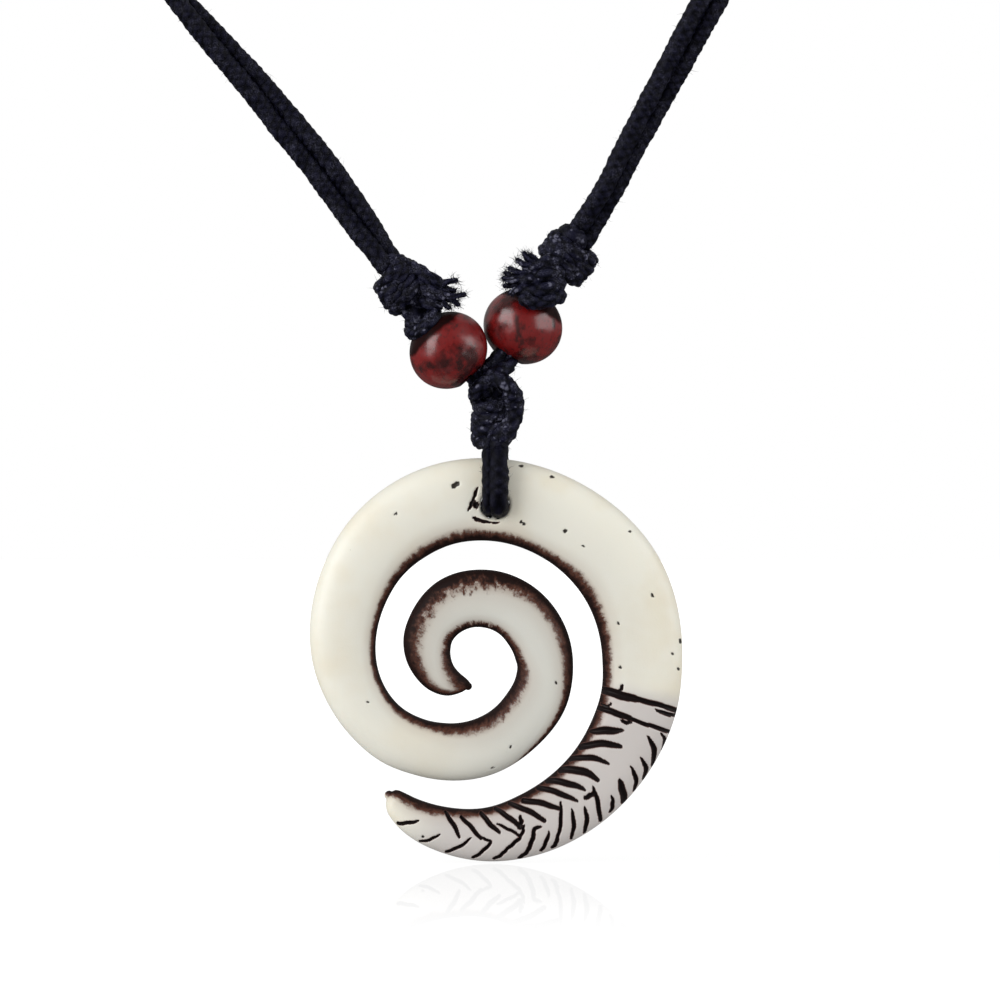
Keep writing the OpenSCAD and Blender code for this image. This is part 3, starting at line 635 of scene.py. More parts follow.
def braided_cord(name, route, wide_r, deep_r=None, side=None, gap=0.00015, sides=32, relief=0.26, lump=0.05,
                 thin=1.0, plies=0, stitch=0.0013, painted_light_share=1.0):
    """A braided cord along a route. side is the way its wide radius points at the start. Shares of its size
    are relief, how deep the braid's gaps are, lump, how uneven it is, and thin, what is left at the far end.
    With plies it is a twisted yarn and not a braid. The last argument sets how much painted light and glint
    it gets."""
    deep_r = deep_r or wide_r
    centres, run = evenly(route, gap)
    ahead = np.gradient(centres, axis=0)
    ahead /= np.linalg.norm(ahead, axis=1)[:, None]
    wide = np.empty_like(centres)
    last = np.array(side or Vector(ahead[0]).orthogonal(), dtype=float)
    for i, way in enumerate(ahead):
        last = last - way * last.dot(way)
        last = last / np.linalg.norm(last)
        wide[i] = last
    deep_way = np.cross(ahead, wide)
    turn = np.arange(sides) / sides
    crown = braid_height(turn[None, :], run[:, None], stitch)
    if plies:
        crown = np.abs(np.cos(pi * (plies * turn[None, :] + run[:, None] / 0.0014)))
    uneven = 1 + lump * np.sin(run / 0.0007 + wide_r * 9e4) * np.sin(run / 0.0023)
    uneven = uneven * (1 - (1 - thin) * run / run[-1])
    end_turns = np.radians([35, 70, 90])
    shrink = np.concatenate([np.cos(end_turns)[::-1], np.ones(len(run)), np.cos(end_turns)])
    rows = np.concatenate([[0] * 3, np.arange(len(run)), [len(run) - 1] * 3]).astype(int)
    beyond = np.concatenate([-np.sin(end_turns)[::-1], np.zeros(len(run)), np.sin(end_turns)]) * deep_r * 0.6
    size = (1 - relief + relief * crown[rows]) * (uneven[rows] * shrink)[:, None]
    places = centres[rows][:, None, :] + (beyond[:, None] * ahead[rows])[:, None, :]
    places = places + (wide_r * size * np.cos(tau * turn))[:, :, None] * wide[rows][:, None, :]
    places = places + (deep_r * size * np.sin(tau * turn))[:, :, None] * deep_way[rows][:, None, :]
    around = np.append(turn, 1) * tau * wide_r
    piece = rolled_grid(name, places, run[rows], around, {"crown": crown[rows], "painted_light_share": painted_light_share})
    bpy.ops.object.mode_set(mode="EDIT")
    close_seam()
    bpy.ops.object.mode_set(mode="OBJECT")
    bpy.ops.object.shade_smooth()
    return piece


def joined(name, parts):
    """Several parts as one piece."""
    bpy.ops.object.select_all(action="DESELECT")
    for part in parts:
        part.select_set(True)
    bpy.context.view_layer.objects.active = parts[0]
    bpy.ops.object.join()
    parts[0].name = parts[0].data.name = name
    return parts[0]


fibre_dice = np.random.default_rng(7)
fibre_d = 0.000045


def fibres(name, roots, ways, lengths, thickness, curl=0.5, steps=4):
    """Loose fibres: each grows from a root along a way, bends, and thins to a point."""
    verts, faces = [], []
    for root, way, length in zip(roots, ways, lengths):
        way = Vector(way).normalized()
        side = way.orthogonal().normalized()
        across = way.cross(side)
        bend = Vector(fibre_dice.normal(0, curl, 3))
        first = len(verts)
        for step in range(steps + 1):
            share = step / steps
            middle = Vector(root) + way * (length * share) + bend * (length * share * share)
            r = thickness / 2 * (1 - 0.85 * share)
            for corner in range(3):
                angle = tau * corner / 3
                verts.append(middle + side * (r * cos(angle)) + across * (r * sin(angle)))
        for step in range(steps):
            for corner in range(3):
                a, b = first + 3 * step + corner, first + 3 * step + (corner + 1) % 3
                faces.append((a, b, b + 3, a + 3))
        faces.append((first + 2, first + 1, first))
        faces.append((first + 3 * steps, first + 3 * steps + 1, first + 3 * steps + 2))
    mesh = bpy.data.meshes.new(name)
    mesh.from_pydata(verts, [], faces)
    piece = bpy.data.objects.new(name, mesh)
    bpy.context.collection.objects.link(piece)
    mesh.uv_layers.new(name="UVMap")
    # Each fibre counts as a braid crown, so it takes the cord's painted light on crowns
    layer = mesh.attributes.new("crown", "FLOAT", "POINT")
    layer.data.foreach_set("value", np.full(len(mesh.vertices), 0.75))
    return piece


def fuzzed(cord, per_mm2, longest):
    """A finished cord with loose fibres that stand out of it."""
    mesh = cord.data
    count = len(mesh.vertices)
    spots = np.empty(count * 3)
    mesh.vertices.foreach_get("co", spots)
    spots = spots.reshape(-1, 3)
    normals = np.empty(count * 3)
    mesh.vertex_normals.foreach_get("vector", normals)
    normals = normals.reshape(-1, 3)
    area = sum(face.area for face in mesh.polygons) * 1e6
    chosen = fibre_dice.integers(0, count, int(area * per_mm2))
    ways = normals[chosen] + fibre_dice.normal(0, 0.6, (len(chosen), 3))
    sizes = fibre_dice.uniform(0.0002, longest, len(chosen))
    return joined(cord.name, [cord, fibres("fuzz", spots[chosen], ways, sizes, fibre_d)])


# A waxed navy-black: painted light on the braid's crowns, painted shade in its gaps, a painted highlight and
# glints
waxed, tree, shader = plain_material("waxed_cord", Specular_IOR_Level=0.12, Specular_Tint=(0.8, 0.8, 1.0, 1))
place = add(tree, "ShaderNodeTexCoord").outputs["Object"]
fuzzy = noise(tree, place, 6000, 3, 0.7)
patchy = noise(tree, place, 700, 2, 0.5)
crown = mark(tree, "crown")
# A painted highlight: lighter navy mottling along the crowns
crown_highlight = calc(tree, "MULTIPLY", ramp(tree, crown, 0.5, 1.0), ramp(tree, fuzzy, 0.45, 0.7))
# How much painted light, painted highlight and painted glint each piece gets
painted_light_share = mark(tree, "painted_light_share")
# How strongly the crowns are painted lighter, and how strong the painted highlight along them is
crown_light_share = calc(tree, "MULTIPLY_ADD", painted_light_share, 0.6, 0.4)
# Painted light on the braid's crowns, and painted shade of dead black in its gaps
lit_crown = calc(tree, "MULTIPLY", ramp(tree, crown, 0.1, 0.7), crown_light_share)
cord_colour = blend_colour(tree, lit_crown, (0.0008, 0.0008, 0.0016), (0.0068, 0.0068, 0.0170))
cord_colour = tint(tree, cord_colour, crown_highlight, crown_light_share, (0.034, 0.034, 0.064))
# Painted highlight patches, pale grey-blue
highlight_patches = calc(tree, "MULTIPLY", ramp(tree, patchy, 0.46, 0.66), ramp(tree, fuzzy, 0.46, 0.62))
highlight_patches = calc(tree, "MULTIPLY", highlight_patches, painted_light_share)
cord_colour = tint(tree, cord_colour, highlight_patches, 0.5, (0.095, 0.095, 0.135))
# Painted glints: small light flecks on the crowns
painted_glints = calc(tree, "MULTIPLY", speck_mask(tree, place, 2100, 0.5, 0.75, 600), ramp(tree, crown, 0.25, 0.7))
painted_glints = calc(tree, "MULTIPLY", painted_glints, ramp(tree, painted_light_share, 0.5, 1.0))
cord_colour = tint(tree, cord_colour, painted_glints, 0.8, (0.12, 0.12, 0.165))
feed(tree, shader, Base_Color=cord_colour, Roughness=ramp(tree, patchy, 0.35, 0.65, 0.3, 0.55),
     Normal=bump(tree, calc(tree, "MULTIPLY", fuzzy, 0.00009), 0.8))


def finish_cord(piece, *nodes):
    piece.data.materials.clear()
    piece.data.materials.append(waxed)
    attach(piece, "necklace")
    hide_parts(*nodes)


rim_h = spiral_r * (1 - hole_share) * (along_table(ARM, hole_angle, 2) - along_table(ARM, hole_angle, 1))
bail_rise = 0.0011
leg_y = 0.0032
LEG = [
    # distance from the pendant's middle plane, height above the hole
    (leg_y - 0.0012, rim_h + bail_rise + 0.0008),
    (leg_y - 0.00105, rim_h + 0.7 * bail_rise),
    (leg_y - 0.00045, rim_h + 0.2 * bail_rise),
    (leg_y - 0.0001, rim_h - 0.0004),
    (leg_y, rim_h - 0.0012),
    (leg_y, 0.0010),
    (leg_y - 0.00025, 0.0000),
    (leg_y - 0.0009, -0.0004),
    (leg_y - 0.002, -0.0005),
]
bail_middle = [(0, -y, z) for y, z in LEG] + [(0, y, z) for y, z in reversed(LEG)]
BAIL_STRANDS = [
    # sideways shift, how far nearer to the pendant, radius across and radius front to back
    (-0.00062, 0.0004, 0.00072, 0.00074),
    (0.00036, 0, 0.00106, 0.00092),
]
bail_parts = []
for shift, near, wide_r, deep_r in BAIL_STRANDS:
    route = [(x + shift, pendant_y + y - near * np.sign(y), hole_place.z + z) for x, y, z in bail_middle]
    route = rounded_route(route)
    bail_parts.append(braided_cord("bail", route, wide_r, deep_r, side=(1, 0, 0), relief=0.14, painted_light_share=0.1))
filled = [(0, pendant_y + y, hole_place.z) for y in (-0.0009, 0, 0.0009)]
filled_r = hole_d / 2 - 0.00001
bail_parts.append(braided_cord("bail_in_hole", filled, filled_r, relief=0.04, lump=0.0, painted_light_share=0.0))
bail = fuzzed(joined("bail_cord", bail_parts), 1.2, 0.0005)
finish_cord(bail, "bail_loop")

# The pendant knot gathers the bail cord. The cord is wound four and a half times round its legs and sags a
# little at the foot. One thick strand crosses over the right side, and two more close the knot at its head.
pendant_knot_d = 0.0053
pendant_knot_h = 0.0062


def leaned(place, lean, x, y, z):
    """A place counted from a knot's foot, with the knot leaned by an angle in the picture plane."""
    a = radians(lean)
    return (place[0] + x * cos(a) + z * sin(a), place[1] + y, place[2] - x * sin(a) + z * cos(a))


def wraps(foot, lean, outer_d, height, turns, wrap_r, tilt, phase=0.0, oval=1.0, lifted=0.0):
    """The route of a cord wound round a knot's core from its foot up, tucked in at both ends. lifted is how
    far its start is tucked up into the knot."""
    route = []
    tucked_in = 0.45
    r = outer_d / 2 - wrap_r
    steps = turns * 40
    for i in range(int(steps) + 1):
        share = i / steps
        angle = tau * turns * share + phase
        tuck = min(1, tucked_in + 5 * min(share, 1 - share))
        own_r = r * tuck * (1 + 0.05 * sin(2.7 * angle + 1) + 0.03 * sin(5.1 * angle))
        z = wrap_r + (height - 2 * wrap_r) * share + tilt * cos(angle - phase)
        if share < 0.5:
            z += lifted * (1 - tuck) / (1 - tucked_in)
        route.append(leaned(foot, lean, own_r * cos(angle), oval * own_r * sin(angle), z))
    return route


def core(name, foot, lean, d, height):
    """The cords inside a knot: one thick dark cord from its foot to its head."""
    route = [leaned(foot, lean, 0, 0, share * height) for share in (0.06, 0.35, 0.65, 0.94)]
    return braided_cord(name, rounded_route(route), d / 2, gap=0.0003, sides=20, relief=0.1)


foot = knot_top - Vector((0, 0, pendant_knot_h))
wrap_r = 0.00084
parts = [core("knot_core", foot, 0, pendant_knot_d - 3.2 * wrap_r, pendant_knot_h)]
sagged = 0.0006
low_foot = foot - Vector((0, 0, sagged))
wound_h = pendant_knot_h + sagged
route = wraps(low_foot, 0, pendant_knot_d - 0.0002, wound_h, 4.5, wrap_r, -0.0009, phase=-2.0, lifted=0.0009)
parts.append(braided_cord("knot_wraps", route, wrap_r))
strands = {
    # in mm from the foot: the strand that crosses the right side from head to foot, the one that comes down
    # over the head's left, and the one that pulls both leads together
    "crossing": [(-0.9, -1.2, 7.2), (0.5, -2.6, 6.7), (1.55, -2.6, 5.7), (2.0, -2.1, 4.2), (1.75, -2.1, 2.7),
                 (0.9, -2.5, 1.4), (-0.2, -1.4, 0.5)],
    "collar": [(1.7, 0.2, 9.2), (1.2, -1.2, 8.1), (-0.1, -2.3, 7.2), (-1.2, -2.3, 6.3), (-1.95, -1.2, 5.5),
               (-1.8, 0.6, 4.9)],
    "throat": [(1.0, -0.3, 9.9), (0.2, -0.8, 8.9), (-0.6, -1.0, 8.0), (-1.5, -0.9, 7.0), (-2.0, -0.3, 6.1)],
}
for strand_name, corners in strands.items():
    route = rounded_route([leaned(foot, 0, *(c / 1000 for c in corner)) for corner in corners])
    strand_r = 0.00106 if strand_name == "crossing" else 0.00088
    parts.append(braided_cord("knot_" + strand_name, route, strand_r))
pendant_knot = fuzzed(joined("pendant_knot_cord", parts), 1.2, 0.0006)
finish_cord(pendant_knot, "pendant_knot")

# Two leads part above the pendant knot, and each goes up through a bead. They are lengths of the same waxed
# cord, one a little in front of the other where they leave the knot.
lead_split = cord_d + 2 * cord_gap
bead_l = 0.0068
seat = 0.0001
stopper_d = 0.0044
stopper_h = 0.0023
SIDES = {
    # where the lead starts, counted from the pendant knot's top, its lean, and how far up it the bead starts
    "left": ((-0.0015, -lead_split / 2, 0), -42, 0.0013),
    "right": ((-0.0001, lead_split / 2, 0), 26, 0.0032),
}
for side, (start, lean, rise) in SIDES.items():
    start = knot_top + Vector(start)
    top = rise + bead_l + seat + 0.5 * stopper_h
    route = rounded_route([leaned(start, lean, 0, 0, z) for z in (-0.001, 0.001, 0.003, 0.006, top)])
    lead = fuzzed(braided_cord(side + "_lead_cord", route, cord_d / 2), 1.0, 0.0005)
    finish_cord(lead, side + "_lead")

# The two beads are turned from dark red-brown wood, drilled through, stained and lacquered to a gloss. The
# stain lies in cloudy red and brown patches under the lacquer. Each bead is drawn nearly black and dull
# towards its upper end, under its stopper knot.
bead_d = 0.008
bead_bore_d = 0.0022
bead_face_d = bead_bore_d + 0.0012
bead_squash = bead_l / bead_d / (1 - (bead_face_d / bead_d) ** 2) ** 0.5

lacquered, tree, shader = plain_material("lacquered_wood", Coat_IOR=1.6, Coat_Roughness=0.25,
                                         Specular_IOR_Level=0.05)
place = add(tree, "ShaderNodeTexCoord").outputs["Object"]
swirl = noise(tree, place, 330, 3, 0.6)
streaky = add(tree, "ShaderNodeMapping", (place, (0, 0, 0), (0.3, 0.6, 0), (700, 700, 300))).outputs[0]
streaks = noise(tree, streaky, 1.0, 4, 0.65)
pores = noise(tree, place, 2600, 3, 0.6)
reddened = ramp(tree, swirl, 0.36, 0.54)
wood_colour = blend_colour(tree, reddened, (0.034, 0.0030, 0.0032), (0.165, 0.004, 0.004))
wood_colour = tint(tree, wood_colour, ramp(tree, streaks, 0.53, 0.68), 0.8, (0.013, 0.0028, 0.0028))
wood_colour = tint(tree, wood_colour, ramp(tree, streaks, 0.45, 0.33), 0.6, (0.105, 0.018, 0.019))
wood_colour = tint(tree, wood_colour, ramp(tree, pores, 0.55, 0.7), 0.5, (0.012, 0.005, 0.005))
# Nearly black, with little lacquer, towards the upper end under the stopper knot
dark_upper_end = ramp(tree, calc(tree, "MULTIPLY_ADD", swirl, 0.35, mark(tree, "upper_end")), 0.68, 0.84)
wood_colour = tint(tree, wood_colour, dark_upper_end, 0.95, (0.004, 0.002, 0.002))
rough = ramp(tree, streaks, 0.35, 0.65, 0.35, 0.55)
coat = ramp(tree, dark_upper_end, 0.0, 1.0, 1.0, 0.05)
coat_rough = ramp(tree, swirl, 0.35, 0.65, 0.21, 0.36)
dents = noise(tree, place, 300, 1, 0.4)
height = calc(tree, "MULTIPLY_ADD", pores, 0.00002, calc(tree, "MULTIPLY", dents, 0.0011))
dented = bump(tree, height, 0.6)
feed(tree, shader, Base_Color=wood_colour, Roughness=rough, Normal=dented, Coat_Weight=coat,
     Coat_Roughness=coat_rough, Coat_Normal=dented)

for side, (start, lean, rise) in SIDES.items():
    bpy.ops.object.select_all(action="DESELECT")
    bpy.ops.mesh.primitive_uv_sphere_add(segments=96, ring_count=64, radius=bead_d / 2)
    bead = bpy.context.object
    bead.name = bead.data.name = side + "_wood_bead"
    bpy.ops.object.mode_set(mode="EDIT")
    bpy.ops.mesh.select_all(action="SELECT")
    bpy.ops.transform.resize(value=(1, 1, bead_squash))
    for end in (1, -1):
        bpy.ops.mesh.select_all(action="SELECT")
        face_place = (0, 0, end * bead_l / 2)
        bpy.ops.mesh.bisect(plane_co=face_place, plane_no=(0, 0, end), use_fill=True, clear_outer=True)
    bpy.ops.object.mode_set(mode="OBJECT")
    flat_ends = [abs(face.normal.z) > 0.999 and len(face.vertices) > 4 for face in bead.data.polygons]
    edit_faces(bead, flat_ends)
    bpy.ops.mesh.inset(thickness=(bead_face_d - bead_bore_d) / 2, depth=0)
    bpy.ops.mesh.bridge_edge_loops(number_cuts=12)
    bpy.ops.mesh.select_all(action="SELECT")
    bpy.ops.mesh.normals_make_consistent(inside=False)
    bpy.ops.object.mode_set(mode="OBJECT")
    rounding = bead.modifiers.new("rounded_rims", "BEVEL")
    rounding.width = 0.00018
    rounding.segments = 4
    rounding.limit_method = "ANGLE"
    rounding.angle_limit = radians(30)
    bpy.ops.object.modifier_apply(modifier=rounding.name)
    heights = np.array([point.co.z for point in bead.data.vertices]) / (bead_l / 2)
    bead.data.attributes.new("upper_end", "FLOAT", "POINT").data.foreach_set("value", heights)
    bead.location = leaned(knot_top + Vector(start), lean, 0, 0, rise + bead_l / 2)
    bead.rotation_euler = (0, radians(lean), 0)
    bpy.ops.object.transform_apply(location=True, rotation=True, scale=True)
    bpy.ops.object.shade_smooth()
    bead.data.materials.append(lacquered)
    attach(bead, "necklace")
    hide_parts(side + "_bead")

# A stopper knot sits on each bead: two turns of the cord round the lead. It keeps the bead from sliding up,
# and the left one has slipped a little over its bead's shoulder.
SLIPPED = {"left": 0.0008, "right": 0.0}
stopper_feet = {}
for side, (start, lean, rise) in SIDES.items():
    foot = leaned(knot_top + Vector(start), lean, 0, 0, rise + bead_l + seat)
    stopper_feet[side] = foot
    slipped = leaned(foot, lean, 0, -0.00045, -SLIPPED[side])
    parts = [core("stopper_core", foot, lean, stopper_d - 0.0019, stopper_h)]
    route = wraps(slipped, lean, stopper_d + 0.0002, stopper_h, 2.3, 0.0007, 0.0006, phase=pi / 2, oval=1.15)
    parts.append(braided_cord("stopper_wraps", route, 0.00072))
    stopper = fuzzed(joined(side + "_stopper_cord", parts), 1.2, 0.0006)
    finish_cord(stopper, side + "_stopper")

# The sliding knots let the necklace be made longer: the end of each side's cord is wound four times round
# the other. The end that is left is cut short, and its yarns have come apart into a frayed tuft.
knot_l = 0.0058
SLIDING = {
    # lean, diameter, sideways shift from the stopper's top, winding phase, length of the winding, and how far
    # the winding is pushed sideways and up
    "left": (-36, 0.0052, 0.0009, 0.6, 0.0051, -0.0004, -0.0001),
    "right": (33, 0.0058, 0.0, 2.2, 0.0049, 0.0006, 0.0),
}
STUBS = {
    # loops and cut ends of the cord: the route, counted from the pendant knot's top, and the radius, in mm
    "left": [
        ([(-8.2, -1.6, 11.6), (-6.9, -2.5, 10.9), (-5.7, -2.7, 10.1)], 1.0),
        ([(-7.7, -1.9, 10.0), (-6.4, -2.8, 9.3), (-5.4, -2.8, 8.8)], 1.0),
        ([(-7.8, -1.4, 8.8), (-6.7, -2.3, 8.2), (-5.7, -2.5, 7.9)], 0.95),
    ],
    "right": [
        ([(6.4, -0.9, 12.6), (5.3, -1.9, 12.2), (4.2, -2.2, 11.8), (3.3, -2.1, 11.6)], 1.05),
        ([(6.2, -1.2, 11.4), (5.0, -2.4, 10.9), (3.7, -2.7, 10.5), (2.6, -2.4, 10.4)], 1.1),
        ([(6.3, -1.5, 10.2), (5.2, -2.8, 9.6), (3.9, -3.1, 9.3), (2.6, -2.9, 9.3)], 1.1),
        ([(6.4, -1.6, 9.0), (5.3, -3.0, 8.4), (4.0, -3.4, 8.2), (2.9, -3.2, 8.5)], 1.0),
    ],
}
TUFTS = {
    # yarns of the cut end: where each leaves the stub, bends and ends, from the pendant knot's top, in mm
    "left": [
        ((-5.4, -2.7, 10.0), (-4.6, -2.9, 10.3), (-3.9, -2.8, 10.4)),
        ((-5.3, -2.2, 9.7), (-4.6, -2.2, 9.5), (-4.1, -2.0, 9.4)),
        ((-5.2, -2.8, 9.2), (-4.1, -3.1, 8.8), (-3.1, -3.0, 9.0)),
        ((-5.2, -2.6, 9.0), (-4.3, -2.9, 8.5), (-3.7, -2.8, 8.0)),
        ((-5.6, -2.6, 8.6), (-5.0, -2.8, 8.0), (-4.6, -2.6, 7.7)),
        ((-5.5, -1.9, 9.2), (-4.9, -1.6, 8.7), (-4.5, -1.2, 8.5)),
    ],
    "right": [
        ((3.6, -2.0, 12.0), (3.2, -2.3, 12.6), (2.9, -2.2, 13.1)),
        ((3.3, -2.4, 11.8), (2.8, -2.6, 12.0), (2.3, -2.3, 12.4)),
        ((4.1, -1.8, 12.2), (3.9, -2.0, 12.6), (3.5, -1.9, 12.9)),
        ((2.7, -2.5, 11.1), (2.0, -2.6, 11.3), (1.5, -2.4, 11.6)),
        ((2.5, -2.0, 10.8), (1.7, -1.9, 10.8), (1.1, -1.6, 11.2)),
        ((2.4, -2.6, 10.4), (1.6, -2.9, 10.4), (0.85, -2.6, 10.6)),
        ((2.4, -2.2, 10.0), (1.7, -2.2, 9.9), (1.0, -2.4, 9.9)),
        ((2.6, -3.0, 9.7), (2.0, -3.2, 9.4), (1.6, -3.1, 9.1)),
    ],
}
yarn_r = 0.00044
hairs_on_yarn = 90
hair_d = 0.000075
knot_heads = {}
for side, (lean, knot_d, shift, phase, wound_l, pushed, raised) in SLIDING.items():
    foot = leaned(stopper_feet[side], SIDES[side][1], 0, 0, stopper_h)
    foot = leaned(foot, lean, shift, 0, 0)
    knot_heads[side] = leaned(foot, lean, 0, 0, knot_l)
    parts = [core("sliding_core", foot, lean, knot_d - 0.0023, wound_l)]
    wound_foot = leaned(foot, lean, pushed, 0, raised)
    route = wraps(wound_foot, lean, knot_d, wound_l, 4.2, 0.00082, 0.00035, phase=phase)
    parts.append(braided_cord("sliding_wraps", route, 0.00088, relief=0.3, lump=0.12))
    for corners, radius in STUBS[side]:
        route = rounded_route([knot_top + Vector(corner) / 1000 for corner in corners])
        parts.append(braided_cord("stub", route, radius / 1000, relief=0.3, lump=0.1, thin=0.8))
    hair_roots, hair_ways = [], []
    for corners in TUFTS[side]:
        leave, bend, tip = (knot_top + Vector(spot) / 1000 for spot in corners)
        back = leave + 0.6 * (leave - bend)
        route = rounded_route([back, leave, bend, tip], 12)
        parts.append(braided_cord("yarn", route, yarn_r, sides=16, relief=0.3, lump=0.15, thin=0.7, plies=3))
        way = (tip - bend).normalized()
        for hair in range(hairs_on_yarn):
            share = fibre_dice.uniform(0.1, 1.0)
            off = Vector(fibre_dice.normal(0, 0.00016, 3))
            hair_roots.append(bend.lerp(tip, share) + off)
            hair_ways.append(way + Vector(fibre_dice.normal(0, 0.7, 3)))
    hair_lengths = fibre_dice.uniform(0.0002, 0.0006, len(hair_roots))
    parts.append(fibres("frayed_hairs", hair_roots, hair_ways, hair_lengths, hair_d))
    knot = fuzzed(joined(side + "_sliding_knot_cord", parts), 1.0, 0.0005)
    finish_cord(knot, side + "_sliding_knot")

# Two waxed cords run side by side from knot to knot round the neck, and turn over each other on the way.
# Each goes into the object's own knots at both ends. The route is a worn necklace's.
NECK_ROUTE = [
    # place counted from the pendant knot's top, in mm, and the way the pair faces, in degrees
    (-15, -0.3, 18.5, -14),
    (-17.9, -0.3, 22.5, -6),
    (-21.1, -0.1, 26.4, -18),
    (-24.3, 0, 30.3, -42),
    (-31.6, 0, 38.7, -68),
    (-38.4, 3, 48, -56),
    (-45, 9, 58.5, -18),
    (-51.5, 19, 70, 24),
    (-57, 33, 82, 58),
    (-60.5, 50, 92.5, 82),
    (-60, 68, 99.5, 98),
    (-54.5, 85, 103, 116),
    (-44, 99, 104.2, 134),
    (-30, 109, 104.3, 152),
    (-15, 114, 104.2, 168),
    (0, 115, 104.2, 180),
    (15, 114, 104.2, 192),
    (30.5, 109, 104.3, 208),
    (45, 98.5, 104.2, 226),
    (55.5, 84, 103, 244),
    (60, 66, 99, 262),
    (57.5, 48, 92, 278),
    (50.5, 30, 82, 291),
    (42, 16, 70.5, 302),
    (34, 7.5, 59.5, 314),
    (27.5, 2.5, 49, 324),
    (21.6, 0, 38.7, 328),
    (17.85, 0, 31.8, 319),
    (13.8, 0.2, 24.3, 306),
    (11.35, 0.2, 19.5, 303),
]
NECK_ENDS = {
    # the way the pair faces where it enters each sliding knot, and how far off the knot's middle, in metres
    "left": (-58, 0),
    "right": (312, 0.0006),
}
neck_ends = {}
for side, (end_facing, off_middle) in NECK_ENDS.items():
    entry = Vector(leaned(knot_heads[side], SLIDING[side][0], off_middle, 0, 0)) - knot_top
    neck_ends[side] = (*entry * 1000, end_facing)
neck_rows = [neck_ends["left"], *NECK_ROUTE, neck_ends["right"]]
neck_table = [(number, *row) for number, row in enumerate(neck_rows)]
neck_at = np.linspace(0, len(neck_rows) - 1, 1400)
neck_middle = np.stack([along_table(neck_table, neck_at, c) for c in (1, 2, 3)], axis=1) / 1000
facing = np.radians(along_table(neck_table, neck_at, 4))
neck_ahead = np.gradient(neck_middle, axis=0)
for end, lean, sense in ((0, SLIDING["left"][0], 1), (-1, SLIDING["right"][0], -1)):
    neck_ahead[end] = sense * sin(radians(lean)), 0, sense * cos(radians(lean))
neck_across = np.cross(neck_ahead, np.stack([-np.sin(facing), -np.cos(facing), 0 * facing], axis=1))
neck_across /= np.linalg.norm(neck_across, axis=1)[:, None]
into_knot = 0.0012
neck_cord_r = 0.001
pair_gap = 0.96 * (cord_d + cord_gap)
for name, inward in (("inner_neck_cord", 1), ("outer_neck_cord", -1)):
    route = np.array(knot_top) + neck_middle + inward * pair_gap / 2 * neck_across
    first = route[0] - into_knot * neck_ahead[0] / np.linalg.norm(neck_ahead[0])
    last = route[-1] + into_knot * neck_ahead[-1] / np.linalg.norm(neck_ahead[-1])
    route = np.concatenate([[first], route, [last]])
    cord = braided_cord(name + "_braid", route, neck_cord_r, gap=0.00018, sides=34, relief=0.11, lump=0.03,
                        stitch=0.0009, painted_light_share=0.5)
    finish_cord(fuzzed(cord, 0.5, 0.0006), name)

# A plain white floor lies under the necklace in a white room, and two large soft lamps light it from the
# front, left and right. The floor is a little glossy, so that the foot of the pendant shows faintly in it.
# Its own glow keeps it as white as the room, and so does the light that it mirrors.
floor_z = -0.15195
bpy.ops.object.select_all(action="DESELECT")
bpy.ops.mesh.primitive_plane_add(size=6, location=(0, pendant_y, floor_z))
floor = bpy.context.object
floor.name = "floor"
paper = bpy.data.materials.new("white_paper")
paper.use_nodes = True
tree = paper.node_tree
tree.nodes.clear()
rays = add(tree, "ShaderNodeLightPath").outputs
paper_share = calc(tree, "MULTIPLY_ADD", rays["Is Glossy Ray"], -0.28, 0.35)
seen_share = calc(tree, "MULTIPLY_ADD", rays["Is Camera Ray"], -0.7, 1.0)
matt = add(tree, "ShaderNodeBsdfDiffuse", {"Color": calc(tree, "MULTIPLY", paper_share, seen_share)})
place = add(tree, "ShaderNodeTexCoord").outputs["Object"]
spot = add(tree, "ShaderNodeVectorMath", (place,), operation="LENGTH").outputs["Value"]
facing = add(tree, "ShaderNodeLayerWeight").outputs["Facing"]
mirror = calc(tree, "MULTIPLY", rays["Is Camera Ray"], ramp(tree, facing, 0.7, 0.92, 0.0, 0.14))
mirror = calc(tree, "MULTIPLY", mirror, ramp(tree, spot, 0.19, 0.02, 0.15, 1.0))
far_glow = ramp(tree, spot, 0.1, 0.7, 0.0, 0.25)
spread_glow = calc(tree, "ADD", ramp(tree, spot, 0.035, 0.1, 0.57, 0.64), far_glow)
seen_glow = calc(tree, "MULTIPLY", rays["Is Camera Ray"], spread_glow)
seen_glow = calc(tree, "SUBTRACT", seen_glow, mirror)
unseen_glow = calc(tree, "MULTIPLY_ADD", rays["Is Glossy Ray"], -0.32, 0.36)
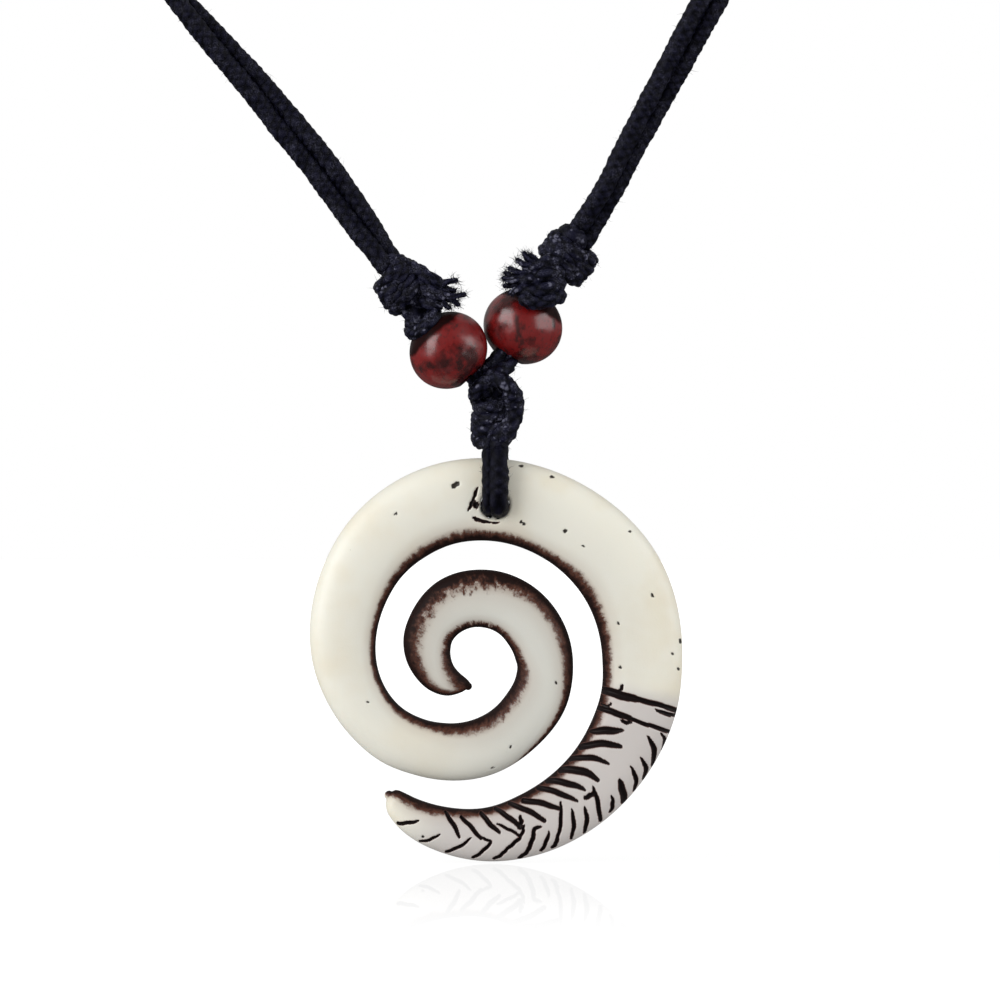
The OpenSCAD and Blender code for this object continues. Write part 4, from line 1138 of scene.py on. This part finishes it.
glow_strength = calc(tree, "ADD", seen_glow, unseen_glow)
glow = add(tree, "ShaderNodeEmission", {"Color": (1, 1, 1, 1), "Strength": glow_strength})
gloss = add(tree, "ShaderNodeBsdfAnisotropic", {"Roughness": 0.0, "Color": mirror})
lit = add(tree, "ShaderNodeAddShader", (matt.outputs[0], glow.outputs[0]))
lit = add(tree, "ShaderNodeAddShader", (lit.outputs[0], gloss.outputs[0]))
add(tree, "ShaderNodeOutputMaterial", (lit.outputs[0],))
floor.data.materials.append(paper)
world = bpy.data.worlds.new("studio")
bpy.context.scene.world = world
world.use_nodes = True
tree = world.node_tree
background = tree.nodes["Background"].inputs
background["Color"].default_value = (1, 1, 1, 1)
rays = add(tree, "ShaderNodeLightPath").outputs
away = add(tree, "ShaderNodeSeparateXYZ", (add(tree, "ShaderNodeTexCoord").outputs["Generated"],)).outputs[1]
# The lacquer and the wax mirror a dim room that is lighter at the back, and the floor a white one
soft_mirrored = calc(tree, "MULTIPLY", ramp(tree, away, -0.9, 0.9, -0.48, -0.16),
                     calc(tree, "SUBTRACT", 1.0, rays["Is Singular Ray"]))
mirrored = calc(tree, "MULTIPLY_ADD", rays["Is Singular Ray"], 0.5, soft_mirrored)
room_light = calc(tree, "MULTIPLY_ADD", rays["Is Camera Ray"], 0.5, 0.5)
room_light = calc(tree, "MULTIPLY_ADD", rays["Is Glossy Ray"], mirrored, room_light)
tree.links.new(room_light, background["Strength"])
LAMPS = [
    # name, place, size, watts
    ("left_lamp", (-0.69, -0.60, 0.2), 0.7, 6.8),
    ("right_lamp", (0.80, -0.40, 0.12), 0.7, 4.4),
]
for name, lamp_place, size, watts in LAMPS:
    bpy.ops.object.light_add(type="AREA", location=lamp_place)
    lamp = bpy.context.object
    lamp.name = name
    lamp.data.shape = "SQUARE"
    lamp.data.size = size
    lamp.data.energy = watts
    aim = hole_place - Vector(lamp_place)
    lamp.rotation_euler = aim.to_track_quat("-Z", "Y").to_euler()
bpy.context.scene.view_settings.view_transform = "Standard"
